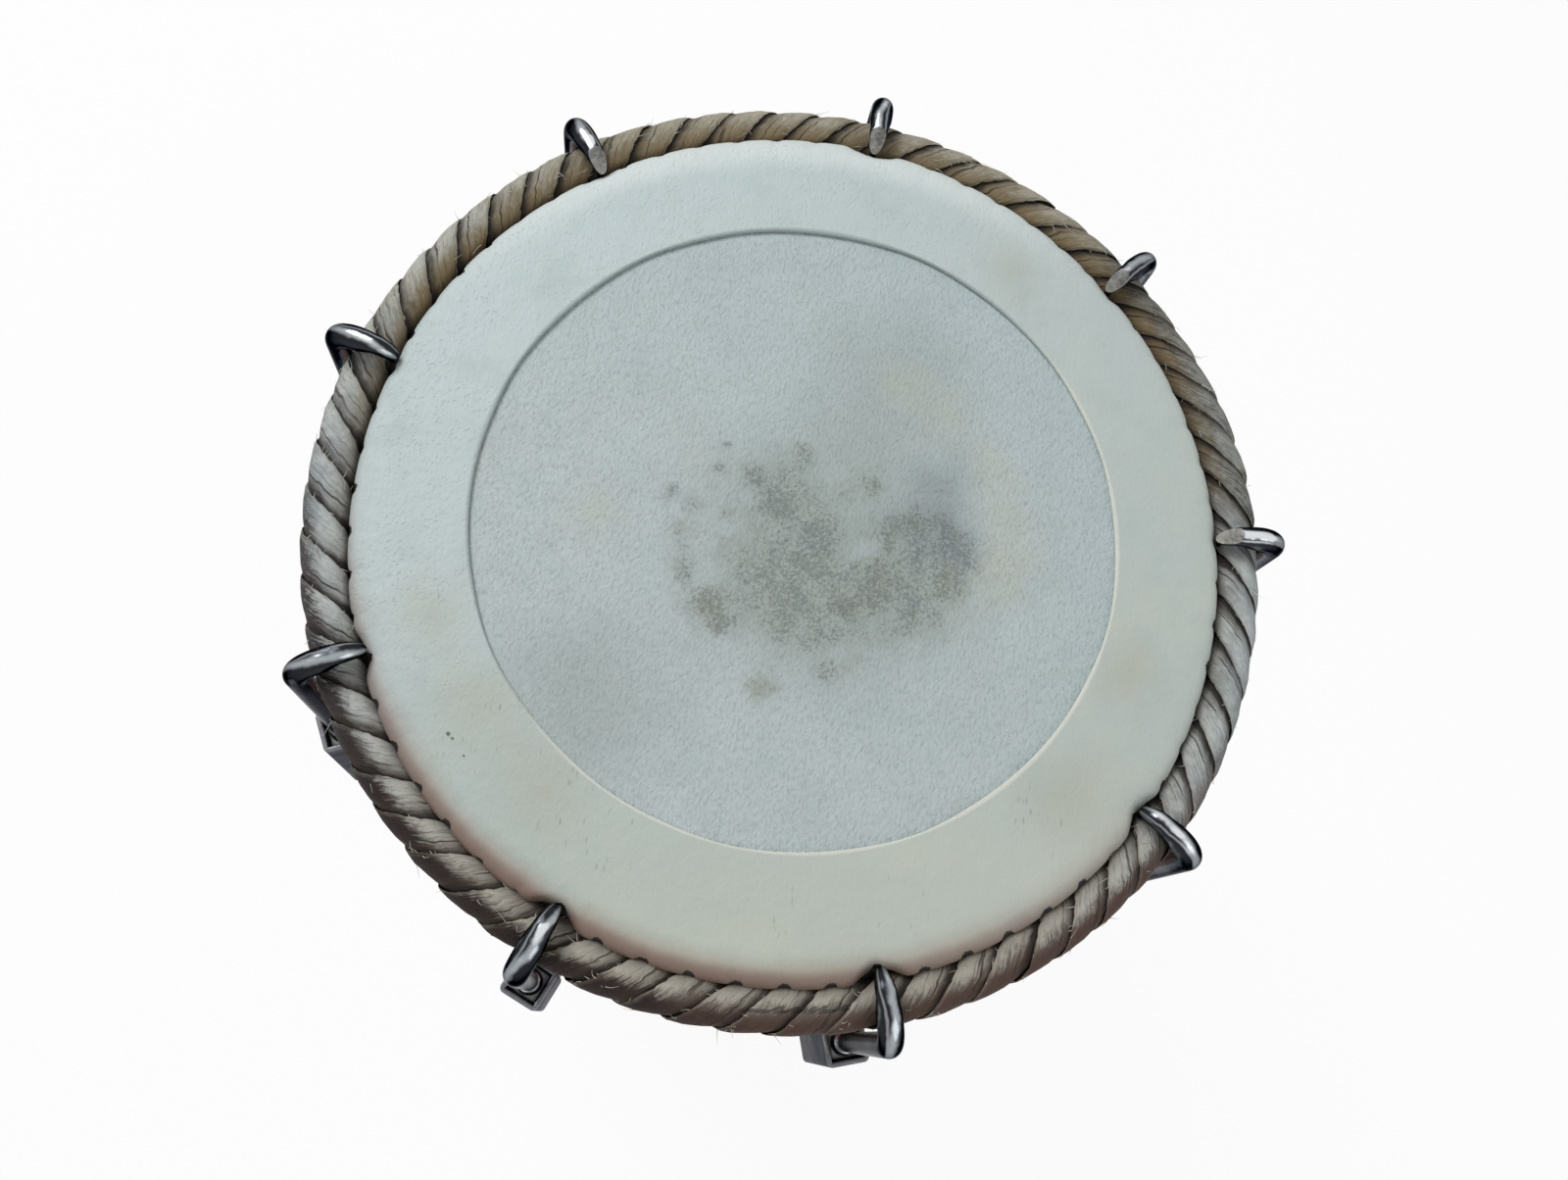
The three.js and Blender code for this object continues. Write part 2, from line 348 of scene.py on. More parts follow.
# %% Turn the barrel
LINE_WIDTH = 1.6 * MM
LINE_DEPTH = 0.7 * MM
LINE_DROPS = (52 * MM, 57 * MM, 62 * MM)
LINE_SHAPE = [(0.5, 0), (0.3, 0.7), (0, 1), (-0.3, 0.7), (-0.5, 0)]
EDGE_STEPS = 5

line_levels = [bass.plane - drop for drop in LINE_DROPS]
line_levels += [treble.plane + drop for drop in LINE_DROPS[::-1]]
side = [(barrel_radius(z), z) for z in np.linspace(bass_seat, treble_seat, 61)
        if all(abs(z - cut) > 0.8 * LINE_WIDTH for cut in line_levels)]
for cut in line_levels:
    side += [(barrel_radius(cut) - share * LINE_DEPTH, cut + out * LINE_WIDTH)
             for out, share in LINE_SHAPE]
outside = fold(bass, bass.stack, EDGE_STEPS) + sorted(side, key=lambda point: -point[1])
outside += fold(treble, treble.stack, EDGE_STEPS)[::-1]
bore = [on(treble, treble.radius - treble.stack - WALL, treble.stack)]
bore += [(barrel_radius(z) - WALL, z) for z in np.linspace(treble_seat, bass_seat, 25)]
bore += [on(bass, bass.radius - bass.stack - WALL, bass.stack)]
barrel = turned("turned_barrel", [*outside, *bore, outside[0]], 216)
fit_to(barrel, "drum", "barrel_shell")

# %% [markdown]
# ## Places round the rim
# The lacing pulls at 64 places round the bass and 54 round the treble, and the hooks press at
# nine. Skins and straps follow both, so their places round the rim are worked out here.

# %% Find the rods and the lacing
joints = {joint["name"]: joint for joint in frame["joints"]}
rods = sum(name.startswith("bass_hook_") and name.count("_") == 2 for name in frame["nodes"])
sleeve_axis = Vector(joints["turnbuckle_1_turn"]["axis"])
sleeve_point = Vector(joints["turnbuckle_1_turn"]["pos_m"])
FIRST = math.atan2(sleeve_point.y, sleeve_point.x)
LACINGS = {"bass": 64, "treble": 54}
HOOK_ROOM = 5.5 * MM
SLANT = 1.5 * MM
STEEP_SLANT = 3.2 * MM
STEEP_AT = math.radians(20)
STEEP_HALF = math.radians(30)


def smooth(value):
    value = np.clip(value, 0, 1)
    return value * value * (3 - 2 * value)


def ripple(angle, waves, seed):
    """A slow wander round the rim that closes on itself, from about -1 to 1."""
    rng = np.random.default_rng(seed)
    parts = [rng.uniform(-1, 1) * np.sin(n * angle + rng.uniform(0, TURN)) for n in waves]
    return sum(parts) / len(waves) ** 0.5


def turned_from(angle, middle):
    """How far round an angle lies from a place on the rim, the shorter way."""
    return (angle - middle + math.pi) % TURN - math.pi


def from_rod(angle):
    """How far round the rim the nearest rod is."""
    between = TURN / rods
    return (angle - FIRST + between / 2) % between - between / 2


def clear_of_rods(head, angle):
    """0 at the hooks and 1 between them."""
    return 1 - np.exp(-(from_rod(angle) * head.ring / HOOK_ROOM) ** 4)


def slant(head, angle):
    """How far along the rim a turn of the strap leans half way round: more to the bass's right."""
    steep = STEEP_SLANT * np.exp(-(turned_from(angle, STEEP_AT) / STEEP_HALF) ** 2)
    return SLANT + (steep if head.end == "bass" else 0)


print(rods, "rods, the first at", round(math.degrees(FIRST)), "degrees")

# %% [markdown]
# The edge of a skin and the turns of a strap are worked by moving their corners, all of them at
# once, as arrays of numbers. A finish can ask later for any number that was kept on a corner.

# %% Read and move the corners of a piece
def corners_of(piece):
    """The corners of a piece as an array that can be changed and written back."""
    places = np.zeros(len(piece.data.vertices) * 3)
    piece.data.vertices.foreach_get("co", places)
    return places.reshape(-1, 3)


def normals_of(piece):
    """The way that each corner of a piece faces."""
    normals = np.zeros(len(piece.data.vertices) * 3)
    piece.data.vertices.foreach_get("normal", normals)
    return normals.reshape(-1, 3)


def move_corners(piece, places):
    piece.data.vertices.foreach_set("co", places.ravel())
    piece.data.update()


def around(places):
    """The distance of each corner from the drum's axis, and its angle round it."""
    return np.hypot(places[:, 0], places[:, 1]), np.arctan2(places[:, 1], places[:, 0])


def set_around(places, reach, angle):
    places[:, 0] = reach * np.cos(angle)
    places[:, 1] = reach * np.sin(angle)


def remember(piece, name, values):
    """Keeps one number for each corner, for the finish to read."""
    attribute = piece.data.attributes.new(name, "FLOAT", "POINT")
    attribute.data.foreach_set("value", np.asarray(values, np.float32))


# %% [markdown]
# ## The skins
# A skin is laid over the barrel's end wet, drawn down its side and laced to the rim. The bass has
# two: the playing skin, and over it a second skin whose middle is cut out, which leaves the pale
# collar. Where the lacing pulls, the edge puckers, and the lace's slit is painted dark as shade.
# Between the hooks the bass skins were pulled out further over the rim, at the front and at the
# back.

# %% Pucker the edge of a skin
PUCKER = 0.5 * MM
PUCKER_DROP = 0.25 * MM
NOSE_DENT = 0.45 * MM
CUT_WAVER = 0.35 * MM
# How far, round which place, how far to each side and how steeply the skin was pulled out
FRONT_SPREAD = (2.4 * MM, math.radians(-95), math.radians(68), 4)
BACK_SPREAD = (1.4 * MM, math.radians(85), math.radians(32), 2)


def spread(head, angle):
    """How much further than round the bass skin was pulled over its rim, clear of the hooks."""
    if head.end != "bass":
        return 0 * angle
    front, back = (most * np.exp(-(turned_from(angle, at) / half) ** power)
                   for most, at, half, power in (FRONT_SPREAD, BACK_SPREAD))
    return (front + back) * clear_of_rods(head, angle)


def pucker(piece, head, cut=None):
    """Draws in the folded edge of a skin at each lacing, and wavers the cut edge of a collar."""
    laces = LACINGS[head.end]
    places = corners_of(piece)
    reach, angle = around(places)
    depth = (places[:, 2] - head.plane) * head.inward
    first = -math.pi / 2 + TURN / (laces // 2) / 4 + slant(head, angle) / head.ring
    pull = (0.5 + 0.5 * np.cos((angle - first) * laces)) ** 5
    strength = 0.65 + 0.35 * ripple(angle, range(2, 24, 3), 5)
    start = head.radius - FOLD
    lean = np.clip((reach - start) / FOLD, 0, 1) + np.clip((depth - FOLD) / FOLD, 0, 1)
    drawn = PUCKER * pull * strength * np.clip(lean, 0, 1) ** 0.7
    on_top = depth < SEAM
    drawn[on_top] *= 0.3
    pressed = NOSE_DENT * np.exp(-(from_rod(angle) * head.radius / (3 * MM)) ** 2) * smooth(lean * 2)
    pulled = spread(head, angle) * smooth(lean * 1.5) * smooth((9.5 - depth / MM) / 3)
    reach = reach - drawn - pressed + pulled
    near_fold = np.clip((reach - start + 1.5 * MM) / FOLD, 0, 1)
    places[:, 2] += head.inward * PUCKER_DROP * pull * strength * near_fold
    if cut:
        near = np.clip(1 - (reach - cut) / (3 * MM), 0, 1)
        reach = reach + near * CUT_WAVER * ripple(angle, (2, 3, 5, 8, 13, 21), 11)
    set_around(places, reach, angle)
    move_corners(piece, places)
    # Which lace each corner belongs to and how far its slit shows, kept for the finish, which paints
    # the open slit dark as shade.
    lace = np.round((angle - first) * laces / TURN).astype(int) % laces
    gaping = np.random.default_rng(9).uniform(-0.5, 1.1, laces)[lace]
    shown = np.clip(gaping + 0.35 - 0.7 * np.sin(angle + 0.5), 0, 1)
    remember(piece, "slit", pull * shown * smooth((depth / MM - 0.5 + 0.6 * shown) / 2))
    return clean(piece)


# %% [markdown]
# A skin's outline goes out over its top, round the fold and down its side, and comes back
# underneath. The outer skins end in a lip that laps outwards over the strap.

# %% Turn the skins
SKIN_FOLD = 3.2 * MM
CUT_ROUNDING = 0.25 * MM
LAPPED_SIDE = (6.2, 7.4, 8.6)
# Each point of the lip, in millimetres: how far out from the side, and how deep
LAPPED_EDGE = [(0, 9.8), (0.35, 11.1), (1.2, 12.1), (2.8, 12.9), (5.0, 13.8), (5.0, 14.6),
               (2.6, 13.8), (0.6, 12.9), (-0.6, 11.7), (-0.9, 10.2)]


def skin(name, head, depth, thickness, steps, opening=0, lapped=True):
    """Turns a skin from its middle, or from its opening, out and back."""
    under = depth + thickness
    side = head.radius - depth
    flat = head.radius - SKIN_FOLD
    skirt = abs(head.skirt - head.plane)
    rounding = CUT_ROUNDING if opening else 0
    rows = [on(head, opening + rounding, depth)]
    rows += [on(head, radius, depth) for radius in np.linspace(opening, flat, 8)[1:-1]]
    rows += fold(head, depth, 8, SKIN_FOLD)
    if lapped:
        rows += [on(head, side, drop * MM) for drop in LAPPED_SIDE]
        rows += [on(head, side + out * MM, drop * MM) for out, drop in LAPPED_EDGE]
    else:
        rows += [on(head, side, skirt), on(head, head.radius - under, skirt)]
    rows += fold(head, under, 8, SKIN_FOLD)[::-1]
    rows += [on(head, opening, under)]
    if opening:
        rows += [on(head, opening, depth + rounding), rows[0]]
    return turned(name, rows, steps)


opening = radii("bass_collar_skin")[0]
collar = skin("collar_skin", bass, collar_depth, collar_thickness, 640, opening)
fit_to(pucker(collar, bass, opening), "drum", "bass_collar_skin")
playing_skin = skin("bass_playing_skin", bass, bass_depth, bass_thickness, 192, lapped=False)
fit_to(playing_skin, "drum", "bass_skin")
far_skin = skin("treble_playing_skin", treble, treble_depth, treble_thickness, 432)
fit_to(pucker(far_skin, treble), "drum", "treble_skin")

# %% [markdown]
# ## The tuning paste
# The dark bloom in the middle of the bass head is not paint. It is paste, pressed on the inside of
# the skin to lower its note, and its oil soaks through. The paste is a flat disc that is pressed
# by hand, so its face and its edge are uneven: the Displace modifier gives it soft lumps.

# %% Press the paste on the inside of the bass skin
PASTE_EDGE = 1.2 * MM
PASTE_TAPER = 9 * MM

low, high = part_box("bass_tuning_paste")
paste_radius = (high.x - low.x) / 2
rows = [(0, high.z)] + [(r, high.z) for r in np.linspace(0, paste_radius - 1 * MM, 12)[1:]]
rows += arc((paste_radius - PASTE_EDGE, high.z - PASTE_EDGE), PASTE_EDGE, 60, -60, 5)
rows += [(r, low.z) for r in np.linspace(paste_radius - PASTE_TAPER, 0, 9)]
paste = turned("tuning_paste", rows, 96)


def lumpy(piece, size, strength, level, group=""):
    """Gives a surface soft lumps about this many metres across."""
    texture = bpy.data.textures.new(f"{piece.name} lumps", "CLOUDS")
    texture.noise_scale = size
    apply(piece, "DISPLACE", texture=texture, texture_coords="LOCAL", strength=strength,
          mid_level=level, vertex_group=group)


places = corners_of(paste)
places[:, :2] += (low + high).xy / 2
move_corners(paste, places)
lower = paste.vertex_groups.new(name="lower")
lower.add([v.index for v in paste.data.vertices if v.co.z < high.z - 0.1 * MM], 1.0, "REPLACE")
lumpy(paste, 6 * MM, 0.9 * MM, 1.0, "lower")
paste.vertex_groups.clear()
fit_to(clean(paste, 60), "drum", "bass_tuning_paste")

# %% [markdown]
# ## The hoops
# Inside each braid lies an iron ring, bent from round bar and welded. A torus would do, but the
# weld leaves a low bead, so a round outline is turned and then swollen a little at one place.

# %% Turn the iron hoops
BEAD_AT = 0.4
BEAD_HALF = 2.5 * MM
BEAD_SWELL = 0.05

for one in (bass, treble):
    hoop = turned(f"{one.end}_iron_hoop", arc((one.ring, one.level), one.wire, 0, 360, 16), 144)
    places = corners_of(hoop)
    reach, angle = around(places)
    bead = 1 + BEAD_SWELL * np.exp(-((angle - BEAD_AT) * one.ring / BEAD_HALF) ** 2)
    set_around(places, one.ring + (reach - one.ring) * bead, angle)
    places[:, 2] = one.level + (places[:, 2] - one.level) * bead
    move_corners(hoop, places)
    fit_to(clean(hoop), "drum", f"{one.end}_hoop")

# %% [markdown]
# ## The braids
# The rim is a wet rawhide strap wound round the hoop and laced to the skins, which then dries
# hard. Every turn lies over the edge of the next one, like a tile. One strap's section is drawn,
# wound along a straight line with the Screw modifier, and closed into a ring with Simple Deform.
# Two such straps lie side by side, so that one winding takes two laces further each time.

# %% Wind a strap along a straight line
STRAP_WIDTH = 1.2
# Each point: its share of the width from the free edge, and its height in millimetres
STRAP = [
    (0.0, -1.05), (0.006, -0.7), (0.03, -0.42), (0.07, -0.22), (0.13, -0.08), (0.21, 0.0),
    (0.3, -0.02), (0.4, -0.12), (0.5, -0.3), (0.6, -0.55), (0.7, -0.86), (0.8, -1.2), (0.9, -1.48),
    (0.97, -1.62), (1.0, -1.95), (0.99, -2.4), (0.9, -2.75), (0.7, -2.7), (0.5, -2.5), (0.3, -2.1),
    (0.12, -1.75), (0.03, -1.5),
]


def wind(name, head, steps):
    """One strap with its outward side towards -Y and its top towards +Z."""
    turns = LACINGS[head.end] // 2
    pitch = TURN * head.ring / turns
    width = STRAP_WIDTH * pitch / 2
    section = [(share * width, head.rim + drop * MM) for share, drop in STRAP]
    strap = draw(name, [*section, section[0]])
    apply(strap, "SCREW", axis="X", angle=-TURN, screw_offset=pitch, iterations=turns,
          steps=steps, render_steps=steps)
    return strap, pitch, width


# %% [markdown]
# A wound strap is not a smooth coil. It leans over the top, is pulled in where it goes through
# the skin, lies flat on the outside, bulges between the hooks, and is creased and torn along its
# free edge. How far along and across the strap each corner lies is kept for the finish.

# %% Work the strap by hand
PULLED_IN = 0.2
BULGE = 0.7 * MM
BULGE_AT = math.radians(143)
BULGE_HALF = math.radians(24)
SWELLING = 0.9 * MM
SWELLING_AT = math.radians(17)
SWELLING_HALF = math.radians(14)
GROOVE_HALF = math.radians(80)


def work_strap(strap, head, pitch, width, number):
    x, y, z = corners_of(strap).T.copy()
    turns = LACINGS[head.end] // 2
    reach = np.hypot(y, z)
    turn = np.arctan2(y, z)
    over = np.arctan2(z, -y)
    row = np.arange(len(x)) // len(STRAP)
    start = pitch * turns * row / row.max()
    across = (x - start) / width
    angle = start / head.ring + number * TURN / LACINGS[head.end] - math.pi / 2
    groove = smooth(1 - np.abs(np.abs(over) - math.pi) / GROOVE_HALF)
    middle = start + 0.45 * width
    x = middle + (x - middle) * (1 - PULLED_IN * groove) - slant(head, angle) * np.cos(over)
    fine = angle + over / turns
    lip = np.clip(1 - across / 0.12, 0, 1)
    ragged = ripple(fine, (211, 333, 487, 619, 977), 31 + number)
    wrinkle = ripple(fine, (97, 161, 254, 401), 41 + number)
    x += 0.75 * MM * ripple(angle, (17, 23, 29, 37, 43, 53), 61 + number)
    x += lip * 0.3 * MM * ragged + 0.35 * MM * wrinkle * (1 - lip)
    sunk = head.rim - reach
    side = 0.45 + 0.3 * ripple(angle, (19, 27, 34, 45), 71 + number)
    flat = 0.5 * groove + side * smooth(np.cos(over) * 1.2)
    reach += np.clip(flat, 0, 0.8) * sunk * (across < 0.98)
    free = clear_of_rods(head, angle)
    bulge = np.exp(-((np.abs(over) - BULGE_AT) / BULGE_HALF) ** 2) * (z > 0)
    pillow = smooth(across / 0.16) * smooth((1 - across) / 0.3)
    reach += BULGE * bulge * free * (0.35 + 0.65 * pillow) * (reach > head.rim - 2.2 * MM)
    if head.end == "bass":
        swollen = SWELLING * np.exp(-(turned_from(angle, SWELLING_AT) / SWELLING_HALF) ** 2)
        reach += swollen * free * smooth(np.cos(over) + 0.6) * smooth(across * 4) * (z > 0)
    slack = 0.5 + 0.5 * ripple(angle, (3, 7, 13, 23, 41), 51 + number)
    crease = 0.5 + 0.5 * np.sin(across * 17 + 2.5 * wrinkle + over * 1.3)
    reach -= 0.15 * MM * slack * crease * (across > 0.1) + lip * 0.1 * MM * (1 + ragged)
    move_corners(strap, np.stack([x, reach * np.sin(turn), reach * np.cos(turn)], 1))
    remember(strap, "wound", angle * turns + number * 7)
    remember(strap, "across", across)
    # How sunk each corner lies and how it creases, for the painted shade of the finish.
    remember(strap, "sunk", 0.5 * slack * crease + np.clip((sunk / MM - 1.2) / 1.2, 0, 1))


# %% [markdown]
# The two straps are bent until their ends meet, turned half a pitch from each other and joined.
# A last layer of soft lumps breaks the regular look of the winding.

# %% Close the straps into the two braids
def braid(head, steps):
    straps = []
    for number in range(2):
        strap, pitch, width = wind(f"{head.end}_strap_{number}", head, steps)
        work_strap(strap, head, pitch, width, number)
        length = pitch * (LACINGS[head.end] // 2)
        along = corners_of(strap)[:, 0]
        apply(strap, "SIMPLE_DEFORM", deform_method="BEND", deform_axis="Z",
              angle=TURN * (along.max() - along.min()) / length)
        turn = Matrix.Rotation(number * TURN / LACINGS[head.end], 4, "Z")
        up = Matrix.Translation((0, 0, head.level))
        straps += [place_at(strap, up @ turn @ Matrix.Translation((0, -length / TURN, 0)))]
    ring = join(*straps)
    named(f"{head.end}_rawhide_braid")
    clean(ring, 50)
    lumpy(ring, 3.5 * MM, 0.45 * MM, 0.95)
    fit_to(clean(ring, 50), "drum", f"{head.end}_braid")
    return ring


bass_braid = braid(bass, 44)
braid(treble, 24)

# %% [markdown]
# ## Frayed fibres
# Dry rawhide sheds. Fine pale fibres stand up along the free edges of the strap and catch the
# light. One fibre is a thin three-sided rod, and an Array modifier repeats it.

# %% Draw the fibres
FIBRES = 620
FIBRE_SIDES = 3
FIBRE_RINGS = 5
FIBRE_THICKNESS = 0.11 * MM

bpy.ops.object.select_all(action="DESELECT")
bpy.ops.mesh.primitive_circle_add(vertices=FIBRE_SIDES, radius=FIBRE_THICKNESS, fill_type="NGON")
fibres = named("frayed_fibres")
mode("EDIT")
choose("SELECT")
for _ in range(FIBRE_RINGS - 1):
    bpy.ops.mesh.extrude_region_move(TRANSFORM_OT_translate={"value": (0, 0, MM)})
mode("OBJECT")
apply(fibres, "ARRAY", count=FIBRES, use_relative_offset=False, use_constant_offset=True,
      constant_offset_displace=(MM, 0, 0))
print(f"{fibres.name}: {FIBRES} fibres")

# %% [markdown]
# Each fibre is rooted at a corner on the upper side of the strap, near its free edge. It leans
# out and along the rim, one way or the other, and it curls and thins towards its tip.

# %% Root the fibres in the bass rim
ROOT_DEPTH = 0.15 * MM
TIP_THINNING = 0.75

places = corners_of(bass_braid)
across = np.zeros(len(places))
bass_braid.data.attributes["across"].data.foreach_get("value", across)
near_edge = (across < 0.3) & (places[:, 2] > bass.level)
rng = np.random.default_rng(23)
chosen = rng.choice(np.flatnonzero(near_edge), FIBRES, replace=False)
roots = places[chosen]
facing = normals_of(bass_braid)[chosen]
along = np.stack([-roots[:, 1], roots[:, 0], 0 * roots[:, 0]], 1) / around(roots)[0][:, None]
either_way = rng.choice((-1, 1), (FIBRES, 1))
lean = 0.45 * facing + along * either_way * rng.uniform(0.3, 1.0, (FIBRES, 1))
lean += rng.uniform(-0.35, 0.35, (FIBRES, 3))
lean /= np.linalg.norm(lean, axis=1)[:, None]
curl = rng.uniform(-0.55, 0.55, (FIBRES, 3)) - 0.25 * facing
reach = rng.uniform(0.8, 3.4, (FIBRES, 1)) * MM
places = corners_of(fibres).reshape(FIBRES, FIBRE_RINGS * FIBRE_SIDES, 3)
share = (places[:, :, 2] / ((FIBRE_RINGS - 1) * MM))[:, :, None]
section = places - places.mean(axis=1, keepdims=True) * (1, 0, 0)
section[:, :, 2] = 0
spine = roots[:, None] - ROOT_DEPTH * facing[:, None]
spine = spine + reach[:, None] * (lean[:, None] * share + curl[:, None] * share ** 2)
move_corners(fibres, (spine + section * (1 - TIP_THINNING * share)).reshape(-1, 3))
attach(clean(fibres, 60), "drum")
print(f"the longest fibre reaches {reach.max() / MM:.1f} mm")

# %% [markdown]
# ## The hooks
# Each tension rod is a chromed bar with a hook over the rim. A curve with a round bevel would bend
# it, but a bending list is how a workshop does it: straight, bend, straight. The list is read from
# the frame's own rods: the ends of their long straight stretches give the corners of the bends.

# %% Read the straights from the frame
ROD = 3 * MM
NOSE_BEND = 0.42
RIM_BEND = 0.83
NECK_BEND = 60 * MM
BELLY_BEND = 250 * MM
LONG = 20 * MM


def unturned(point):
    """A point in the first rod's plane, turned back into the XZ plane."""
    return Matrix.Rotation(-FIRST, 3, "Z") @ Vector(point)


def straights(node):
    """The ends of a rod's long straight stretches, from the top down."""
    mesh = frame["nodes"][node].data
    ends = set()
    for edge in mesh.edges:
        pair = [mesh.vertices[index].co for index in edge.vertices]
        if (pair[0] - pair[1]).length > LONG:
            ends |= {tuple(round(value, 6) for value in unturned(point)) for point in pair}
    groups = [[]]
    for point in sorted(ends, key=lambda place: -place[2]):
        if groups[-1] and groups[-1][-1][2] - point[2] > 2 * MM:
            groups.append([])
        groups[-1].append(point)
    return [Vector(np.mean(group, axis=0)) for group in groups]


bass_top, bass_end = straights("bass_hook_1")
neck_top, neck, flank_top, flank_end, shank_top, shank_end = straights("treble_hook_1")
print(f"the bass hook's shank is {(bass_top - bass_end).length / MM:.1f} mm long")

# %% [markdown]
# Two straights that belong together cross at the corner of the bend between them. Over the rim
# the corners follow from the rim itself: the hook lies on the braid and its nose stands between
# the braid and the skin.

# %% Write the two bending lists
def crossing(first, second, third, fourth):
    """Where the line through two points meets the line through two others, in the XZ plane."""
    slope = (second.x - first.x) / (second.z - first.z)
    other = (fourth.x - third.x) / (fourth.z - third.z)
    z = (third.x - first.x + slope * first.z - other * third.z) / (slope - other)
    return Vector((first.x + slope * (z - first.z), 0, z))


def over_rim(head, node, top, bottom):
    """The corners of a hook from its nose over the rim to its shank, and the bends at them."""
    near = [unturned(place) for place in cad_corners(node)]
    near = [place for place in near
            if place.x < head.ring - 2 * MM and abs(place.z - head.plane) < 10 * MM]
    depths = [(place.z - head.plane) * head.inward for place in near]
    head.nose_depth = max(depths)
    tip = [place.x for place, depth in zip(near, depths) if depth > head.nose_depth - 0.01 * MM]
    head.nose = (min(tip) + max(tip)) / 2
    head.reach = head.rim + FIT + ROD
    head.crown = head.plane + head.inward * (abs(head.level - head.plane) - head.reach)
    share = (head.crown - bottom.z) / (top.z - bottom.z)
    return [
        (Vector((head.nose, 0, head.plane + head.inward * head.nose_depth)), 0),
        (Vector((head.nose, 0, head.crown)), NOSE_BEND * head.reach),
        (Vector((bottom.x + (top.x - bottom.x) * share, 0, head.crown)), RIM_BEND * head.reach),
    ]


bass_list = over_rim(bass, "bass_hook_1", bass_top, bass_end) + [(bass_end, 0)]
treble_list = over_rim(treble, "treble_hook_1", shank_top, shank_end) + [
    (crossing(shank_top, shank_end, flank_top, flank_end), BELLY_BEND),
    (crossing(flank_top, flank_end, neck_top, neck), NECK_BEND),
    (neck_top, 0),
]
for point, radius in bass_list + treble_list:
    print(f"corner at {point.x / MM:.1f}, {point.z / MM:.1f} mm, bend {radius / MM:.1f} mm")

# %% [markdown]
# A ring of corners starts at the nose. It is extruded along each straight and spun round each
# bend, about the line that stands square on both of the bend's legs.

# %% Bend a rod
ROD_SIDES = 28
NOSE_RINGS = 10
BEND_STEP = math.radians(7)


def bent_rod(name, corners):
    """Extrudes a ring along a bending list of corners and the radii of their bends."""
    bpy.ops.object.select_all(action="DESELECT")
    here = corners[0][0]
    bpy.ops.mesh.primitive_circle_add(vertices=ROD_SIDES, radius=ROD, fill_type="NOTHING",
                                      location=here)
    rod = named(name)
    mode("EDIT")
    choose("SELECT")
    rings = NOSE_RINGS
    for (before, _), (corner, bend), (after, _) in zip(corners, corners[1:], corners[2:]):
        back = (before - corner).normalized()
        ahead = (after - corner).normalized()
        half = back.angle(ahead) / 2
        tangent = bend / math.tan(half)
        step = (corner + back * tangent - here) / rings
        for _ in range(rings):
            bpy.ops.mesh.extrude_edges_move(TRANSFORM_OT_translate={"value": step})
        rings = 1
        centre = corner + (back + ahead).normalized() * bend / math.sin(half)
        sweep = math.pi - 2 * half
        bpy.ops.mesh.spin(steps=max(6, round(sweep / BEND_STEP)), angle=sweep, center=centre,
                          axis=back.cross(ahead))
        here = corner + ahead * tangent
    bpy.ops.mesh.extrude_edges_move(TRANSFORM_OT_translate={"value": corners[-1][0] - here})
    choose("SELECT")
    bpy.ops.mesh.remove_doubles(threshold=SEAM)
    fill_holes()
    return place_at(rod)


# %% [markdown]
# The nose of a hook is hammered flat and narrow, and its inner side is ground to a slope. On some
# hooks the bend above the nose was ground off as well, which leaves a flat. Bisect closes each cut,
# but it can lay a second face over one that is there, so the mesh is validated, which drops it.

# %% Draw out the nose of a hook
NOSE_LENGTH = 4.7 * MM
NOSE_THICKNESS = 1 / 6
GRIND = 0.35 * MM
TAPER_START = 4.2 * MM
TAPER_END = 1.5 * MM
TAPER_WIDTH = 0.3
FLAT_LEAN = math.radians(42)
FLAT_DEPTH = 1.3 * MM


def cut_off(place, facing):
    """Cuts away what lies beyond a plane, and closes the cut."""
    bpy.ops.mesh.bisect(plane_co=place, plane_no=facing, use_fill=True, clear_outer=True)


def draw_out_nose(rod, head, ground):
    """Hammers the nose of a hook flat and narrow, and grinds its inner side and its bend."""
    places = corners_of(rod)
    depth = (places[:, 2] - head.plane) * head.inward
    share = (depth - head.nose_depth + NOSE_LENGTH) / NOSE_LENGTH
    inner = places[:, 0] < head.ring - 1 * MM
    nose = (share > 0) & inner
    flat = head.nose + (places[:, 0] - head.nose) * (1 - np.clip(share, 0, 1) * (1 - NOSE_THICKNESS))
    taper = np.clip((depth + TAPER_START) / (TAPER_START + TAPER_END), 0, 1)
    places[nose, 0] = flat[nose]
    places[inner, 1] *= 1 - taper[inner] * (1 - TAPER_WIDTH)
    move_corners(rod, places)

    def in_nose(centre):
        low = (centre.z - head.plane) * head.inward
        return centre.x < head.ring - 1 * MM and low > head.nose_depth - NOSE_LENGTH - 1 * MM

    root = head.plane + head.inward * (head.nose_depth - NOSE_LENGTH)
    tip = head.plane + head.inward * head.nose_depth
    upper = Vector((head.nose - ROD + GRIND, 0, root))
    lower = Vector((head.nose - ROD * NOSE_THICKNESS + 0.4 * GRIND, 0, tip))
    edit_faces(rod, in_nose)
    cut_off(lower, (lower - upper).normalized().cross(Vector((0, head.inward, 0))))
    bend = NOSE_BEND * head.reach
    centre = Vector((head.nose + bend, 0, head.crown + head.inward * bend))
    facing = Vector((-math.sin(FLAT_LEAN), 0, -head.inward * math.cos(FLAT_LEAN)))
    head.flat = centre + facing * (bend + ROD - FLAT_DEPTH)
    if ground:
        choose("SELECT")
        cut_off(head.flat, facing)
    mode("OBJECT")
    rod.data.validate()
    return clean(rod, 35)


# %% [markdown]
# The end inside the sleeve is threaded. A thread is a triangle drawn along a helix: the Screw
# modifier turns it and lifts it by one pitch each turn. The bass hook has a right-hand thread and
# the treble hook a left-hand one, so that turning the sleeve draws both rods in. Under its thread
# the rod is as thin as the bottom of the grooves.

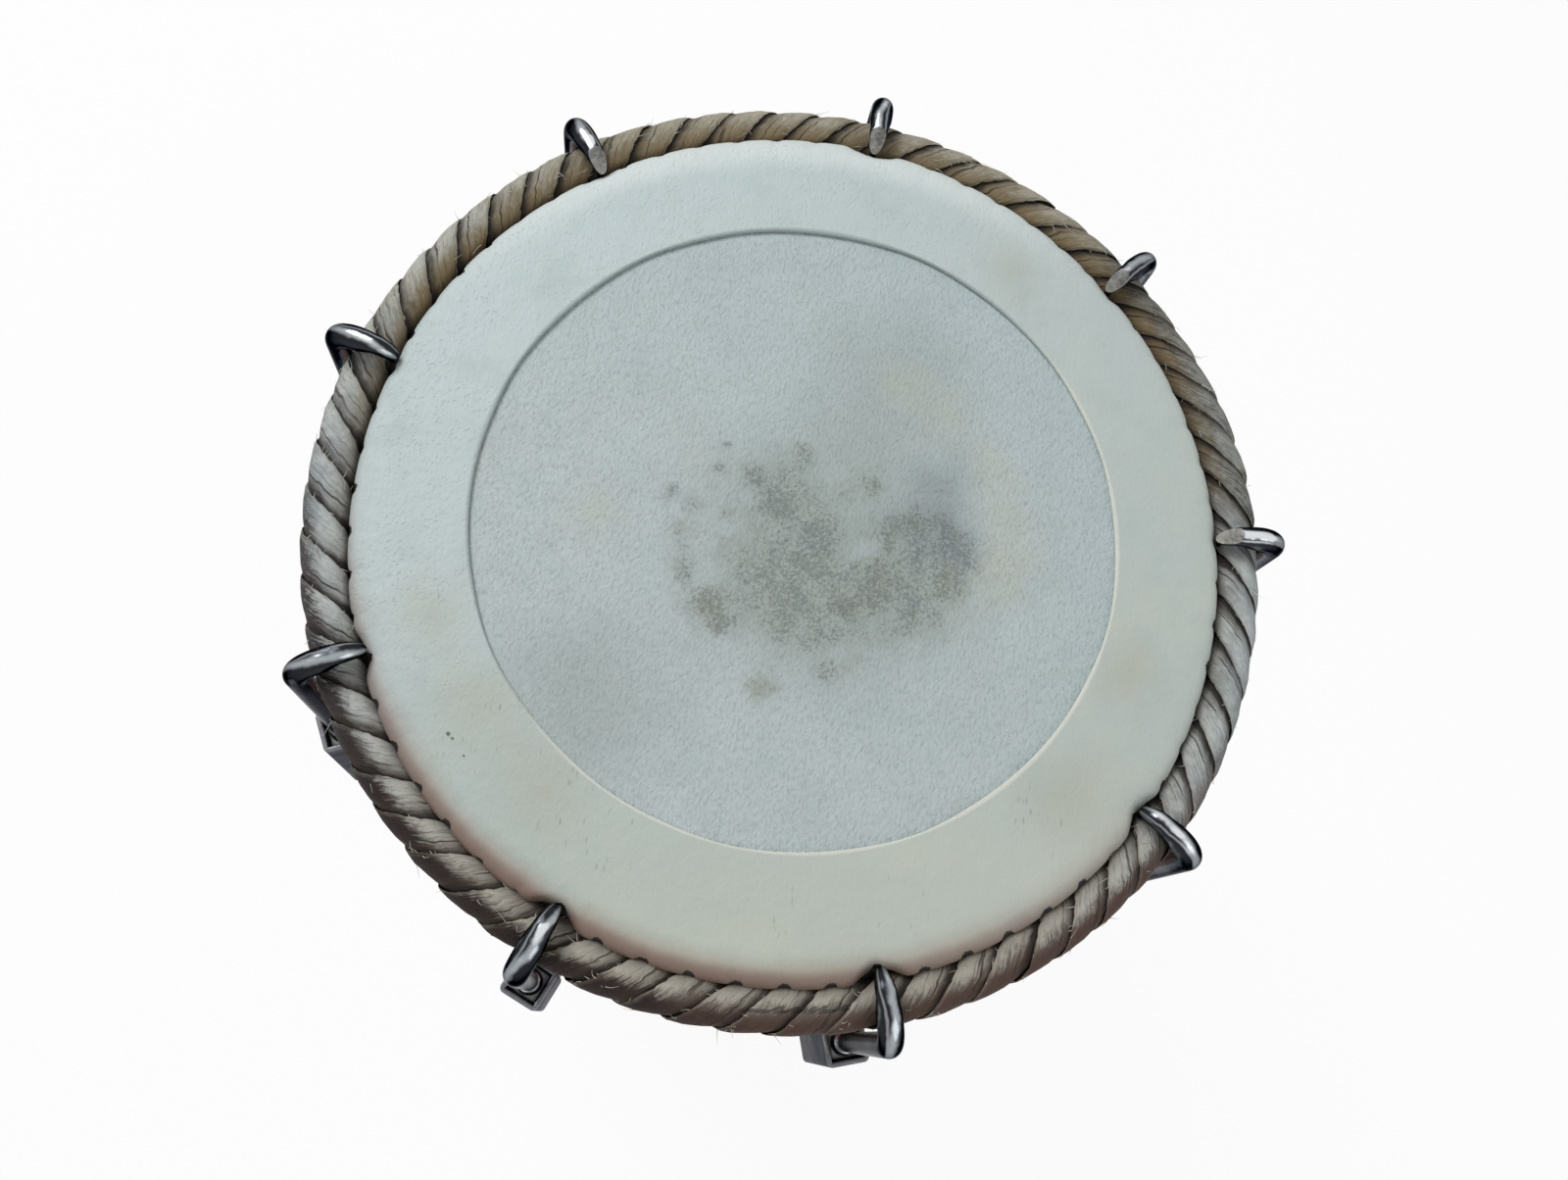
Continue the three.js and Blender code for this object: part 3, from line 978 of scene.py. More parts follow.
# %% Cut the threads
PITCH = 1 * MM
THREAD_LENGTH = 33 * MM
THREAD_DEPTH = 0.55 * MM
ROOT = ROD - THREAD_DEPTH
SUNK = ROOT - 0.3 * MM
RIDGE = [(SUNK, -0.1), (ROOT, 0), (ROD, 0.45), (ROD, 0.55), (ROOT, 1), (SUNK, 1.1)]


def thread(rod, end, direction, hand):
    """Adds a helical ridge from the end of a rod back along it."""
    rows = [(radius, share * PITCH) for radius, share in RIDGE]
    ridge = draw("ridge", [*rows, rows[0]])
    apply(ridge, "SCREW", axis="Z", angle=hand * TURN, screw_offset=PITCH,
          iterations=round(THREAD_LENGTH / PITCH) - 1, steps=18, render_steps=18)
    edit(ridge)
    fill_holes()
    place_at(ridge, Matrix.Translation(end) @ direction.to_track_quat("Z", "Y").to_matrix().to_4x4())
    return join(rod, clean(ridge, 20))


def thin_end(rod, end, direction):
    """Narrows a rod to the root of its thread."""
    def near_end(centre):
        return (centre - end).dot(direction) < THREAD_LENGTH + 8 * MM

    for distance in (THREAD_LENGTH - 0.5 * MM, THREAD_LENGTH + 0.3 * MM):
        edit_faces(rod, near_end)
        bpy.ops.mesh.bisect(plane_co=end + direction * distance, plane_no=direction)
        mode("OBJECT")
    places = corners_of(rod)
    side = np.array(end)
    line = np.array(direction)
    along = (places - side) @ line
    middle = side + np.outer(along, line)
    core = along < THREAD_LENGTH - 0.4 * MM
    places[core] = (middle + (places - middle) * (1 - (THREAD_DEPTH + 0.03 * MM) / ROD))[core]
    move_corners(rod, places)
    return clean(rod, 35)


# %% [markdown]
# One hook is made and copied for each rod. The photograph shows the flat of a ground bend on the
# bass hooks 1 to 4 alone, so the bass hooks are made in two lots. How each corner of a hook faces
# is kept before it is turned to its place, so that the finish can paint reflections on its top and
# its sides.

# %% Make the hooks
GROUND_HOOKS = range(1, 5)
PLAIN_HOOKS = range(5, rods + 1)
ALL_RODS = range(1, rods + 1)


def copies(piece, name, numbers=ALL_RODS):
    """One copy of a piece for each of these rods, each with its own mesh, turned to its place."""
    made = [piece]
    for _ in numbers[1:]:
        twin = piece.copy()
        twin.data = piece.data.copy()
        bpy.context.collection.objects.link(twin)
        made.append(twin)
    for number, one in zip(numbers, made):
        place_at(one, Matrix.Rotation(FIRST + (number - 1) * TURN / rods, 4, "Z"))
        named(f"{name}_{number}")
    return zip(numbers, made)


def tension_hooks(head, corners, hand, numbers, ground=False):
    """The hooks of a head with these numbers, all alike."""
    rod = draw_out_nose(bent_rod(f"{head.end}_rod", corners), head, ground)
    end = corners[-1][0]
    direction = (corners[-2][0] - end).normalized()
    rod = thread(thin_end(rod, end, direction), end, direction, hand)
    normals = normals_of(rod)
    remember(rod, "faces_up", -head.inward * normals[:, 2])
    remember(rod, "faces_out", normals[:, 0])
    remember(rod, "faces_side", normals[:, 1])
    for number, hook in copies(rod, f"{head.end}_tension_hook", numbers):
        fit_to(hook, f"{head.end}_hook_{number}", f"{head.end}_hook_{number}")


tension_hooks(bass, bass_list, 1, GROUND_HOOKS, ground=True)
tension_hooks(bass, bass_list, 1, PLAIN_HOOKS)
tension_hooks(treble, treble_list, -1, ALL_RODS)

# %% [markdown]
# ## The turnbuckles
# A sleeve of square steel tube holds a nut in each end, one with a right-hand and one with a
# left-hand thread. The tube is drawn from a square with rounded corners, extruded to its length,
# and given its wall by Solidify. The nuts are square too, so that they turn with the sleeve.

# %% Make the sleeves
SLEEVE_WIDTH = 12 * MM
SLEEVE_CORNER = 1.6 * MM
SLEEVE_WALL = 1.5 * MM
MOUTH_ROUNDING = 0.35 * MM

axis = unturned(sleeve_axis)
middle = unturned(sleeve_point)


def along_axis(node):
    """How far a solid reaches along the first sleeve's axis, from the joint's place."""
    reach = [(unturned(place) - middle).dot(axis) for place in cad_corners(node)]
    return min(reach), max(reach)


def square_bar(name, width, corner, node, hollow=False):
    """A square bar or tube with rounded edges, as long as a solid of the first turnbuckle."""
    start, end = along_axis(node)
    length = {"value": (0, 0, end - start)}
    bpy.ops.object.select_all(action="DESELECT")
    bpy.ops.mesh.primitive_plane_add(size=width, location=(0, 0, start))
    bar = named(name)
    mode("EDIT")
    bpy.ops.mesh.bevel(offset=corner, segments=6, affect="VERTICES")
    choose("SELECT")
    if hollow:
        bpy.ops.mesh.delete(type="ONLY_FACE")
        choose("SELECT")
        bpy.ops.mesh.extrude_edges_move(TRANSFORM_OT_translate=length)
    else:
        bpy.ops.mesh.extrude_region_move(TRANSFORM_OT_translate=length)
    mode("OBJECT")
    return place_at(bar)


def round_edges(piece, width, segments):
    apply(piece, "BEVEL", width=width, segments=segments, limit_method="ANGLE",
          angle_limit=math.radians(60))


def stand_on_axis(piece):
    """Brings a piece that was made upright to the sleeve's axis, in the XZ plane."""
    across = Vector((0, 1, 0))
    lean = Matrix((across.cross(axis), across, axis)).transposed().to_4x4()
    return clean(place_at(piece, Matrix.Translation(middle) @ lean), 35)


tube = clean(square_bar("sleeve", SLEEVE_WIDTH, SLEEVE_CORNER, "turnbuckle_1", hollow=True))
apply(tube, "SOLIDIFY", thickness=SLEEVE_WALL, offset=-1, use_even_offset=True)
round_edges(tube, MOUTH_ROUNDING, 3)
for number, sleeve in copies(stand_on_axis(tube), "turnbuckle_sleeve"):
    fit_to(sleeve, f"turnbuckle_{number}", f"turnbuckle_{number}")

# %% [markdown]
# A nut is a short square bar with chamfered edges. Its hole is drilled with the Boolean modifier
# by a turned drill, whose wide ends countersink both mouths.

# %% Make the nuts
NUT_WIDTH = 8.4 * MM
NUT_CORNER = 0.8 * MM
NUT_HOLE = 3.1 * MM
NUT_CHAMFER = 0.5 * MM
SINK = 0.6 * MM
SPARE = 1 * MM


def nut(end):
    """A square nut with a chamfered edge and a countersunk hole."""
    block = square_bar(f"{end}_square_nut", NUT_WIDTH, NUT_CORNER, f"{end}_nut_1")
    round_edges(block, NUT_CHAMFER, 2)
    start, stop = along_axis(f"{end}_nut_1")
    mouth = NUT_HOLE + SINK
    drill = turned("drill", [
        (0, start - SPARE), (mouth + SPARE, start - SPARE), (mouth, start), (NUT_HOLE, start + SINK),
        (NUT_HOLE, stop - SINK), (mouth, stop), (mouth + SPARE, stop + SPARE), (0, stop + SPARE),
    ], 32)
    apply(block, "BOOLEAN", object=drill, operation="DIFFERENCE", solver="EXACT")
    bpy.data.objects.remove(drill)
    return stand_on_axis(block)


for end in ("bass", "treble"):
    for number, one in copies(nut(end), f"{end}_square_nut"):
        fit_to(one, f"turnbuckle_{number}", f"{end}_nut_{number}")

# %% [markdown]
# ## Shader maths as sums
# A finish is a small calculation that runs at every point of a surface. Blender draws it as nodes
# and wires, which is slow to read. The class below wraps the output of a node, so that a finish
# can be written as a sum: `1 - mask` adds the Math node by itself.

# %% Write shaders as sums
def fill(tree, socket, value):
    """Leads a wire to a socket, or sets a plain value on it."""
    if isinstance(value, Wire):
        tree.links.new(value.socket, socket)
    else:
        socket.default_value = value


def paint(shade):
    """A colour named as on a screen, from 0 to 255, as the linear colour that Blender mixes."""
    if isinstance(shade, Wire):
        return shade
    channels = [value / 255 for value in shade]
    return (*(c / 12.92 if c <= 0.04045 else ((c + 0.055) / 1.055) ** 2.4 for c in channels), 1)


class Wire:
    """The output of a shader node, on which sums can be written."""

    def __init__(self, tree, socket):
        self.tree = tree
        self.socket = socket

    def node(self, kind, settings, inputs, output=0):
        """Adds a node: its settings first, then the values or wires of its sockets."""
        new = self.tree.nodes.new(kind)
        for name, value in settings.items():
            setattr(new, name, value)
        for name, value in inputs.items():
            fill(self.tree, new.inputs[name], value)
        return Wire(self.tree, new.outputs[output])

    def maths(self, operation, *others, clamp=False):
        settings = {"operation": operation, "use_clamp": clamp}
        return self.node("ShaderNodeMath", settings, dict(enumerate((self, *others))))

    def __add__(self, other):
        return self.maths("ADD", other)

    def __sub__(self, other):
        return self.maths("SUBTRACT", other)

    def __rsub__(self, other):
        return self.maths("MULTIPLY_ADD", -1, other)

    def __neg__(self):
        return self * -1

    def __mul__(self, other):
        return self.maths("MULTIPLY", other)

    def __truediv__(self, other):
        return self.maths("DIVIDE", other)

    def __abs__(self):
        return self.maths("ABSOLUTE")

    __radd__ = __add__
    __rmul__ = __mul__

    def step(self, low, high):
        """0 below low and 1 above high, with a soft ramp between."""
        values = {"Value": self, "From Min": low, "From Max": high}
        return self.node("ShaderNodeMapRange", {"interpolation_type": "SMOOTHSTEP"}, values)

    def line(self, low, high):
        """1 nearer to 0 than low, and 0 further from it than high."""
        return 1 - abs(self).step(low, high)

    def mix(self, first, second):
        """The first colour where this mask is 0, the second where it is 1."""
        settings = {"data_type": "RGBA", "clamp_factor": True}
        return self.node("ShaderNodeMix", settings, {0: self, 6: paint(first), 7: paint(second)}, 2)

    def vector(self, operation, other, output=0):
        settings = {"operation": operation}
        return self.node("ShaderNodeVectorMath", settings, {0: self, 1: other}, output)

    def stretch(self, x, y, z):
        """A place with each direction scaled by itself."""
        return self.vector("MULTIPLY", (x, y, z))

    def flat(self):
        """A place without its height."""
        return self.stretch(1, 1, 0)

    def far(self, point=(0, 0, 0)):
        """The distance of this place from a point."""
        return self.vector("DISTANCE", point, 1)

    def parts(self):
        return [self.node("ShaderNodeSeparateXYZ", {}, {0: self}, k) for k in range(3)]

    def noise(self, size, detail=2, rough=0.5, output=0):
        """Soft noise whose lumps are about this many metres across."""
        values = {"Vector": self, "Scale": 0.5 / size, "Detail": detail, "Roughness": rough}
        return self.node("ShaderNodeTexNoise", {}, values, output)

    def waver(self, size, detail=2, rough=0.5):
        """The same noise, about 0 in place of 0.5."""
        return self.noise(size, detail, rough) - 0.5

    def cells(self, size):
        """Cells about this many metres across, as the distance from their middles."""
        return self.node("ShaderNodeTexVoronoi", {}, {"Vector": self, "Scale": 1 / size})


print("(255, 255, 255) mixes as", paint((255, 255, 255)))

# %% [markdown]
# Most finishes are coats of colour that lie over each other, each where its mask lets it show.
# Some masks are drawn with round patches placed one by one, whose edges are made ragged by noise.

# %% Lay coats of colour
def layered(colour, *layers):
    """Lays colours over each other, each where its mask is above 0."""
    for mask, shade in layers:
        colour = mask.mix(colour, shade)
    return colour


def patches(place, rows):
    """The sum of soft round patches: 1 in the middle of each, and 0 at its radius."""
    return sum(place.far((x * MM, y * MM, 0)).maths("MULTIPLY_ADD", -1 / (size * MM), 1, clamp=True)
               for x, y, size in rows)


def drift(place, size, amount, detail=3):
    """The place with every point moved by noise, which makes plain outlines ragged."""
    centred = place.noise(size, detail, 0.6, output=1).vector("SUBTRACT", (0.5, 0.5, 0.5))
    return place.vector("ADD", centred.stretch(2 * amount, 2 * amount, 0))


def kept(place, name):
    """A number that was kept on the corners of a piece."""
    return place.node("ShaderNodeAttribute", {"attribute_name": name}, {}, 2)


def coat(colour, rough, relief, depth, others=()):
    """What a finish gives its shader. A relief of 1 stands this many metres high."""
    bump = relief.node("ShaderNodeBump", {}, {"Height": relief, "Distance": depth})
    return {"Base Color": colour, "Roughness": rough, "Normal": bump, **dict(others)}


def finish(name, dress):
    """Makes a material: dress gets the place on the surface and returns the shader's values."""
    material = bpy.data.materials.new(name)
    material.use_nodes = True
    tree = material.node_tree
    place = Wire(tree, tree.nodes.new("ShaderNodeTexCoord").outputs["Object"])
    for socket, value in dress(place).items():
        fill(tree, tree.nodes["Principled BSDF"].inputs[socket], value)
    material.diffuse_color = (0.5, 0.5, 0.5, 1)
    print(f"{name}: {len(tree.nodes)} nodes")
    return material


# %% [markdown]
# ## The playing skin
# Goat skin is pale and cool, with a fine grain that runs one way. In the middle the oil of the
# tuning paste has come through: a soft grey wash, olive and blue-grey patches with ragged edges,
# and dark specks in clusters. An even noise would look wrong, because the eye knows the bloom by
# its outline. So the patches are placed one by one, and noise only makes their edges ragged.

# %% Place the patches of the stain
# Each patch: x, y and radius in millimetres
OLIVE_PATCHES = [
    (-5, 10, 12), (-9, -2, 12), (2, -4, 12), (-3, 6, 10), (-1, -15, 14), (-11, -12, 11), (7, -9, 10),
    (-1, 17, 4.5), (-13, 10, 5), (-9, -22, 12), (1, -26, 13), (-18, -26, 9), (-24, -24, 6.5),
    (-27, -15, 6.5), (-29, -6, 5.5), (-27, 0.5, 4.5), (-33, 3, 3.6), (-21, 10, 3.2), (-20, 17.5, 2),
    (-19, -9, 4), (-18, -1, 3), (9, -19, 13), (16, -14, 10), (14, -27, 10), (23, -13, 10),
    (22, -21, 10), (31, -14, 10), (35, -20, 9), (28, -24, 9), (40, -10, 8), (38, -2, 6), (15, 13, 7),
    (18, 9, 5),
    (8, 6, 8), (21, 1, 8), (29, -5, 9), (28, 4, 6), (36, 4, 6), (12, -2, 6), (10.5, -37, 6.5),
]
TAN_PATCHES = [(-5.2, -42.1, 6.5), (21.1, -12, 9), (38.1, -12.1, 7), (13.8, -20.5, 7), (-20, -25, 7)]
BLUE_PATCHES = [
    (22, 3, 10), (30, 0, 12), (38, 0, 12), (42, -4, 10), (36, 8, 11), (29, 14, 9), (37, 18, 11),
    (4, -1, 5),
]
PALE_ISLANDS = [
    (19, 7.5, 4.2), (15, -6, 4.4), (25, 9, 4), (-22, -15, 4), (-17, -4, 4), (-22.5, -8, 3.5),
    (6, 14, 4.5), (1.7, -38.2, 5), (-31, -1, 2.5), (12, -32, 4), (30, -28, 4), (-14, 4, 3),
]
SPECK_CLUSTERS = [
    (-13, 11, 4), (-8, 5, 6), (-5, 2, 6), (0, -13, 6), (3, -8, 6), (4, 0, 4.5), (-3, -10, 6),
    (-8, -15, 5), (-20, -22, 6), (6, -5, 5), (-2, -20, 6), (-27, 0, 3.3), (-28, -10, 4),
    (-22, 10, 2.4), (-19, 18, 1.4), (-26, -16, 4.5), (-32, 4, 2.4), (-1, 17, 4), (18, 12, 4),
    (20, -12, 5), (30, -15, 5), (35, -12, 5),
    (38, -8, 5.5), (36, 0, 5), (41, -2, 5.5), (40, -8, 5), (30, -5, 5), (30, 3, 5), (22, -3, 4.5),
    (23, 2, 4.5), (40, -4, 4.5), (-0.2, -27, 6), (6.6, -30, 5), (-17, -28, 5), (10.5, -37, 3.8),
    (12, -20, 5),
]
WARM_HALOS = [(52, 7.5, 16), (46, 22, 12), (34, 34, 13), (22, 42, 11), (-50, -4.5, 15), (53, -8, 13)]
DARKER_PLACES = [(20, 40, 34), (-46, -50, 34)]
WASH_CENTRE = (7 * MM, -7 * MM, 0)
print(len(OLIVE_PATCHES), "olive patches and", len(SPECK_CLUSTERS), "clusters of specks")


# %% [markdown]
# The coats go on from the widest to the smallest: the hide's own colours, the wash, the halos, the
# blue and olive of the oil, and last the specks and the grain.

# %% Stain the playing skin
def dress_playing_skin(place):
    flat = place.flat()
    x, y, _ = place.parts()
    wavy = drift(flat, 2.2 * MM, 0.9 * MM, 2)
    loose = drift(flat, 4 * MM, 3.2 * MM, 4)
    ragged = drift(loose, 1.1 * MM, 1.6 * MM, 4)
    soft = drift(flat, 7 * MM, 8 * MM)
    bent = drift(flat, 0.8 * MM, 0.5 * MM, 2)
    grain = wavy.stretch(1.35, 0.6, 0).noise(0.5 * MM, 3, 0.6)
    pebble = wavy.stretch(1.1, 0.8, 0).cells(0.95 * MM)
    fine = wavy.stretch(1.2, 0.8, 0).waver(0.6 * MM, 4, 0.75)
    middle = flat.waver(2.6 * MM, 4, 0.65)
    cool = (0.5 + (x * 0.5 + y * 0.9) / (2 * bass.radius)).step(0.15, 0.95)
    wash = 1 - soft.far(WASH_CENTRE).step(20 * MM, 50 * MM)
    blue = patches(loose, BLUE_PATCHES)
    islands = patches(ragged, PALE_ISLANDS).step(0.1, 0.6)
    olive = patches(loose, OLIVE_PATCHES) + 0.8 * patches(loose, TAN_PATCHES) - 0.55 * islands
    body = (olive + middle + 0.6 * fine).step(-0.2, 0.85)
    crumbs = (0.5 * olive + 3 * fine + 2 * middle).step(0.15, 1) * olive.step(0, 0.3)
    tan = (patches(ragged, TAN_PATCHES) + 1.6 * fine + 1.3 * middle).step(0.1, 1)
    cluster = patches(ragged, SPECK_CLUSTERS)
    grit = bent.noise(0.5 * MM, 4, 0.8)
    strokes = bent.waver(1.1 * MM, 3, 0.7).line(0, 0.05)
    reached = (0.6 * cluster + 0.5 * olive + 0.25 * blue + 1.3 * middle).step(-0.1, 1.7)
    specks = (grit + 0.07 * strokes + 0.15 * reached + 0.2 * middle).step(0.56, 0.7)
    specks = specks * reached.step(0.03, 0.4)
    colour = layered(
        cool.mix((200, 211, 212), (194, 208, 210)),
        (flat.noise(9 * MM, 4, 0.55).step(0.35, 0.75) * 0.45, (182, 197, 200)),
        (flat.noise(17 * MM, 3).step(0.5, 0.78) * 0.4, (200, 205, 196)),
        (wash * 0.5, (162, 174, 168)),
        # Two broad places a little darker and greyer, to the north-east and the south-west.
        (patches(soft, DARKER_PLACES).step(0, 0.9) * 0.36, (150, 160, 153)),
        (patches(soft, WARM_HALOS).step(0.05, 1.3) * 0.55, (200, 203, 187)),
        (blue.step(-0.2, 2) * 0.66, (138, 149, 152)),
        (body * 0.35, (155, 163, 152)),
        (crumbs * 0.13, (122, 128, 116)),
        (tan * 0.26, (142, 138, 112)),
        (specks * 0.46, flat.noise(5 * MM).step(0.4, 0.6).mix((84, 80, 64), (62, 72, 80))),
        ((grain - 0.5).step(0, 0.15) * 0.3, (142, 156, 158)),
    )
    relief = grain * 0.8 - pebble * 0.4
    return coat(colour, 0.5 + 0.2 * grain, relief, 0.46 * MM, {"Specular IOR Level": 0.35})


playing_finish = finish("goat skin with its paste showing through", dress_playing_skin)

# %% [markdown]
# ## The collar skin
# The collar is thicker and paler than the playing skin. Pores show as fine pits, and short flecks
# are left by the hair. Dirt and painted shade darken the fold where the skin goes down into the
# braid, most at the front. The fold at the back gets a painted highlight, and the cut inner edge a
# painted highlight on one half and a painted shadow on the other.

# %% Dress the collar
FLECK_PLACES = [
    (-62, -60, 24), (-40, -82, 22), (-86, -34, 18), (0, -93, 16), (62, -66, 13), (30, -88, 12),
]
OCHRE_PLACES = [
    (-70, -55, 20), (-52, -72, 18), (-84, -34, 14), (70, -60, 20), (84, -30, 14), (50, 78, 14),
]
DARK_DOTS = [(-74.9, -62, 0.75), (-73.9, -62.9, 0.6), (-70.6, -66.5, 0.45)]


def dress_collar(place):
    flat = place.flat()
    x, y, z = place.parts()
    east = x / bass.radius
    north = y / bass.radius
    lean = 0.5 + (x - y) / (3.4 * bass.radius)
    west = 0.5 - (x + y) / (3.2 * bass.radius)
    rim = (flat.far() - bass.radius) / MM
    depth = (bass.plane - z) / MM
    broad = flat.waver(7 * MM, 4, 0.6)
    narrow = flat.waver(4 * MM, 4, 0.6)
    cloud = flat.noise(8 * MM, 5, 0.6).step(0.45, 0.8)
    cream = flat.noise(15 * MM, 4, 0.55).step(0.42, 0.75) * lean.step(0.25, 0.8)
    ochre = patches(drift(flat, 9 * MM, 9 * MM, 4), OCHRE_PLACES).step(0, 1.2)
    porous = (1 - lean).step(0.42, 0.7) * flat.noise(10 * MM).step(0.3, 0.6)
    pores = (1 - flat.cells(1.3 * MM).step(0.12, 0.42)) * porous
    waved = flat.vector("ADD", flat.noise(5 * MM, 1, output=1).stretch(1 * MM, 0, 0))
    hairs = 1 - waved.stretch(1, 0.3, 0).cells(1.35 * MM).step(0.08, 0.26)
    hairy = patches(flat, FLECK_PLACES).step(0, 0.8) * flat.noise(3.5 * MM, 3).step(0.4, 0.6)
    dots = patches(drift(flat, 0.6 * MM, 0.4 * MM), DARK_DOTS).step(0.2, 0.5)
    # A painted highlight on the top of the fold at the back, where it turns towards the light.
    bright = (rim + 2 * broad).step(-11, -2.5) * (north - 0.2 * east).step(0.55, 0.95)
    south = (-0.15 - north - 0.25 * east).step(0, 0.95)
    # The open slits of the lacing, painted dark as shade.
    slit = kept(place, "slit")
    slit_shade = (slit + flat.waver(1.3 * MM, 4, 0.7)).step(0.3, 0.45) * slit.step(0.05, 0.2)
    # The cut inner edge, painted as a highlight on its south-east half and as a shadow on its
    # north-west half.
    cut = 1 - (flat.far() - opening).step(0.35 * MM, 1 * MM)
    colour = layered(
        lean.step(0.05, 0.95).mix((200, 214, 215), (195, 205, 200)),
        (west.step(0.55, 1) * lean.step(0.3, 0.6) * 0.5, (178, 190, 182)),
        (cream * 0.5, (206, 212, 198)),
        (ochre * 0.46, (180, 180, 158)),
        (cloud * 0.45, (181, 195, 193)),
        (pores * 0.07, (150, 165, 168)),
        (hairs * hairy * 0.5, (132, 126, 104)),
        (dots * 0.85, (74, 78, 76)),
        # Painted highlight on the fold at the back.
        (bright * 0.75, (232, 242, 240)),
        (south * lean.step(0.45, 0.8) * 0.4, (212, 214, 195)),
        # Towards the braid the fold darkens with dirt and painted shade, most at the front, and deep
        # in the groove under the braid with painted shade.
        ((rim + 3 * broad).step(-6.5, 1.5) * (0.12 + 0.7 * south), (158, 132, 118)),
        ((rim + 1.5 * narrow).step(-2.6, 0.6) * (0.06 + 0.55 * south), (116, 88, 76)),
        ((depth + 1.6 * narrow).step(1, 4) * 0.6, (126, 110, 94)),
        (depth.step(3.5, 8.5) * 0.9, (76, 66, 56)),
        # The open slits, painted dark as shade.
        (slit_shade, (12, 11, 10)),
        # Painted highlight and painted shadow along the cut inner edge.
        (cut * lean.step(0.42, 0.62) * 0.8, (232, 233, 222)),
        (cut * (1 - lean).step(0.45, 0.6) * 0.45, (128, 142, 138)),
    )
    fine = flat.stretch(1.3, 0.7, 0).noise(0.6 * MM, 3, 0.6)
    relief = fine * 0.5 + flat.noise(2.2 * MM, 3) * 0.9 - pores * 0.3
    return coat(colour, 0.5 + 0.16 * cloud, relief, 0.34 * MM, {"Specular IOR Level": 0.4})


collar_finish = finish("collar skin", dress_collar)

# %% [markdown]
# ## The rawhide
# The strap is hard, dry hide. Its fibres run along the strap, so the finish needs to know where a
# point lies on it: how far round the winding, and how far across. Those two numbers were kept on
# the corners before the strap was bent, and a pattern drawn on them follows every turn.

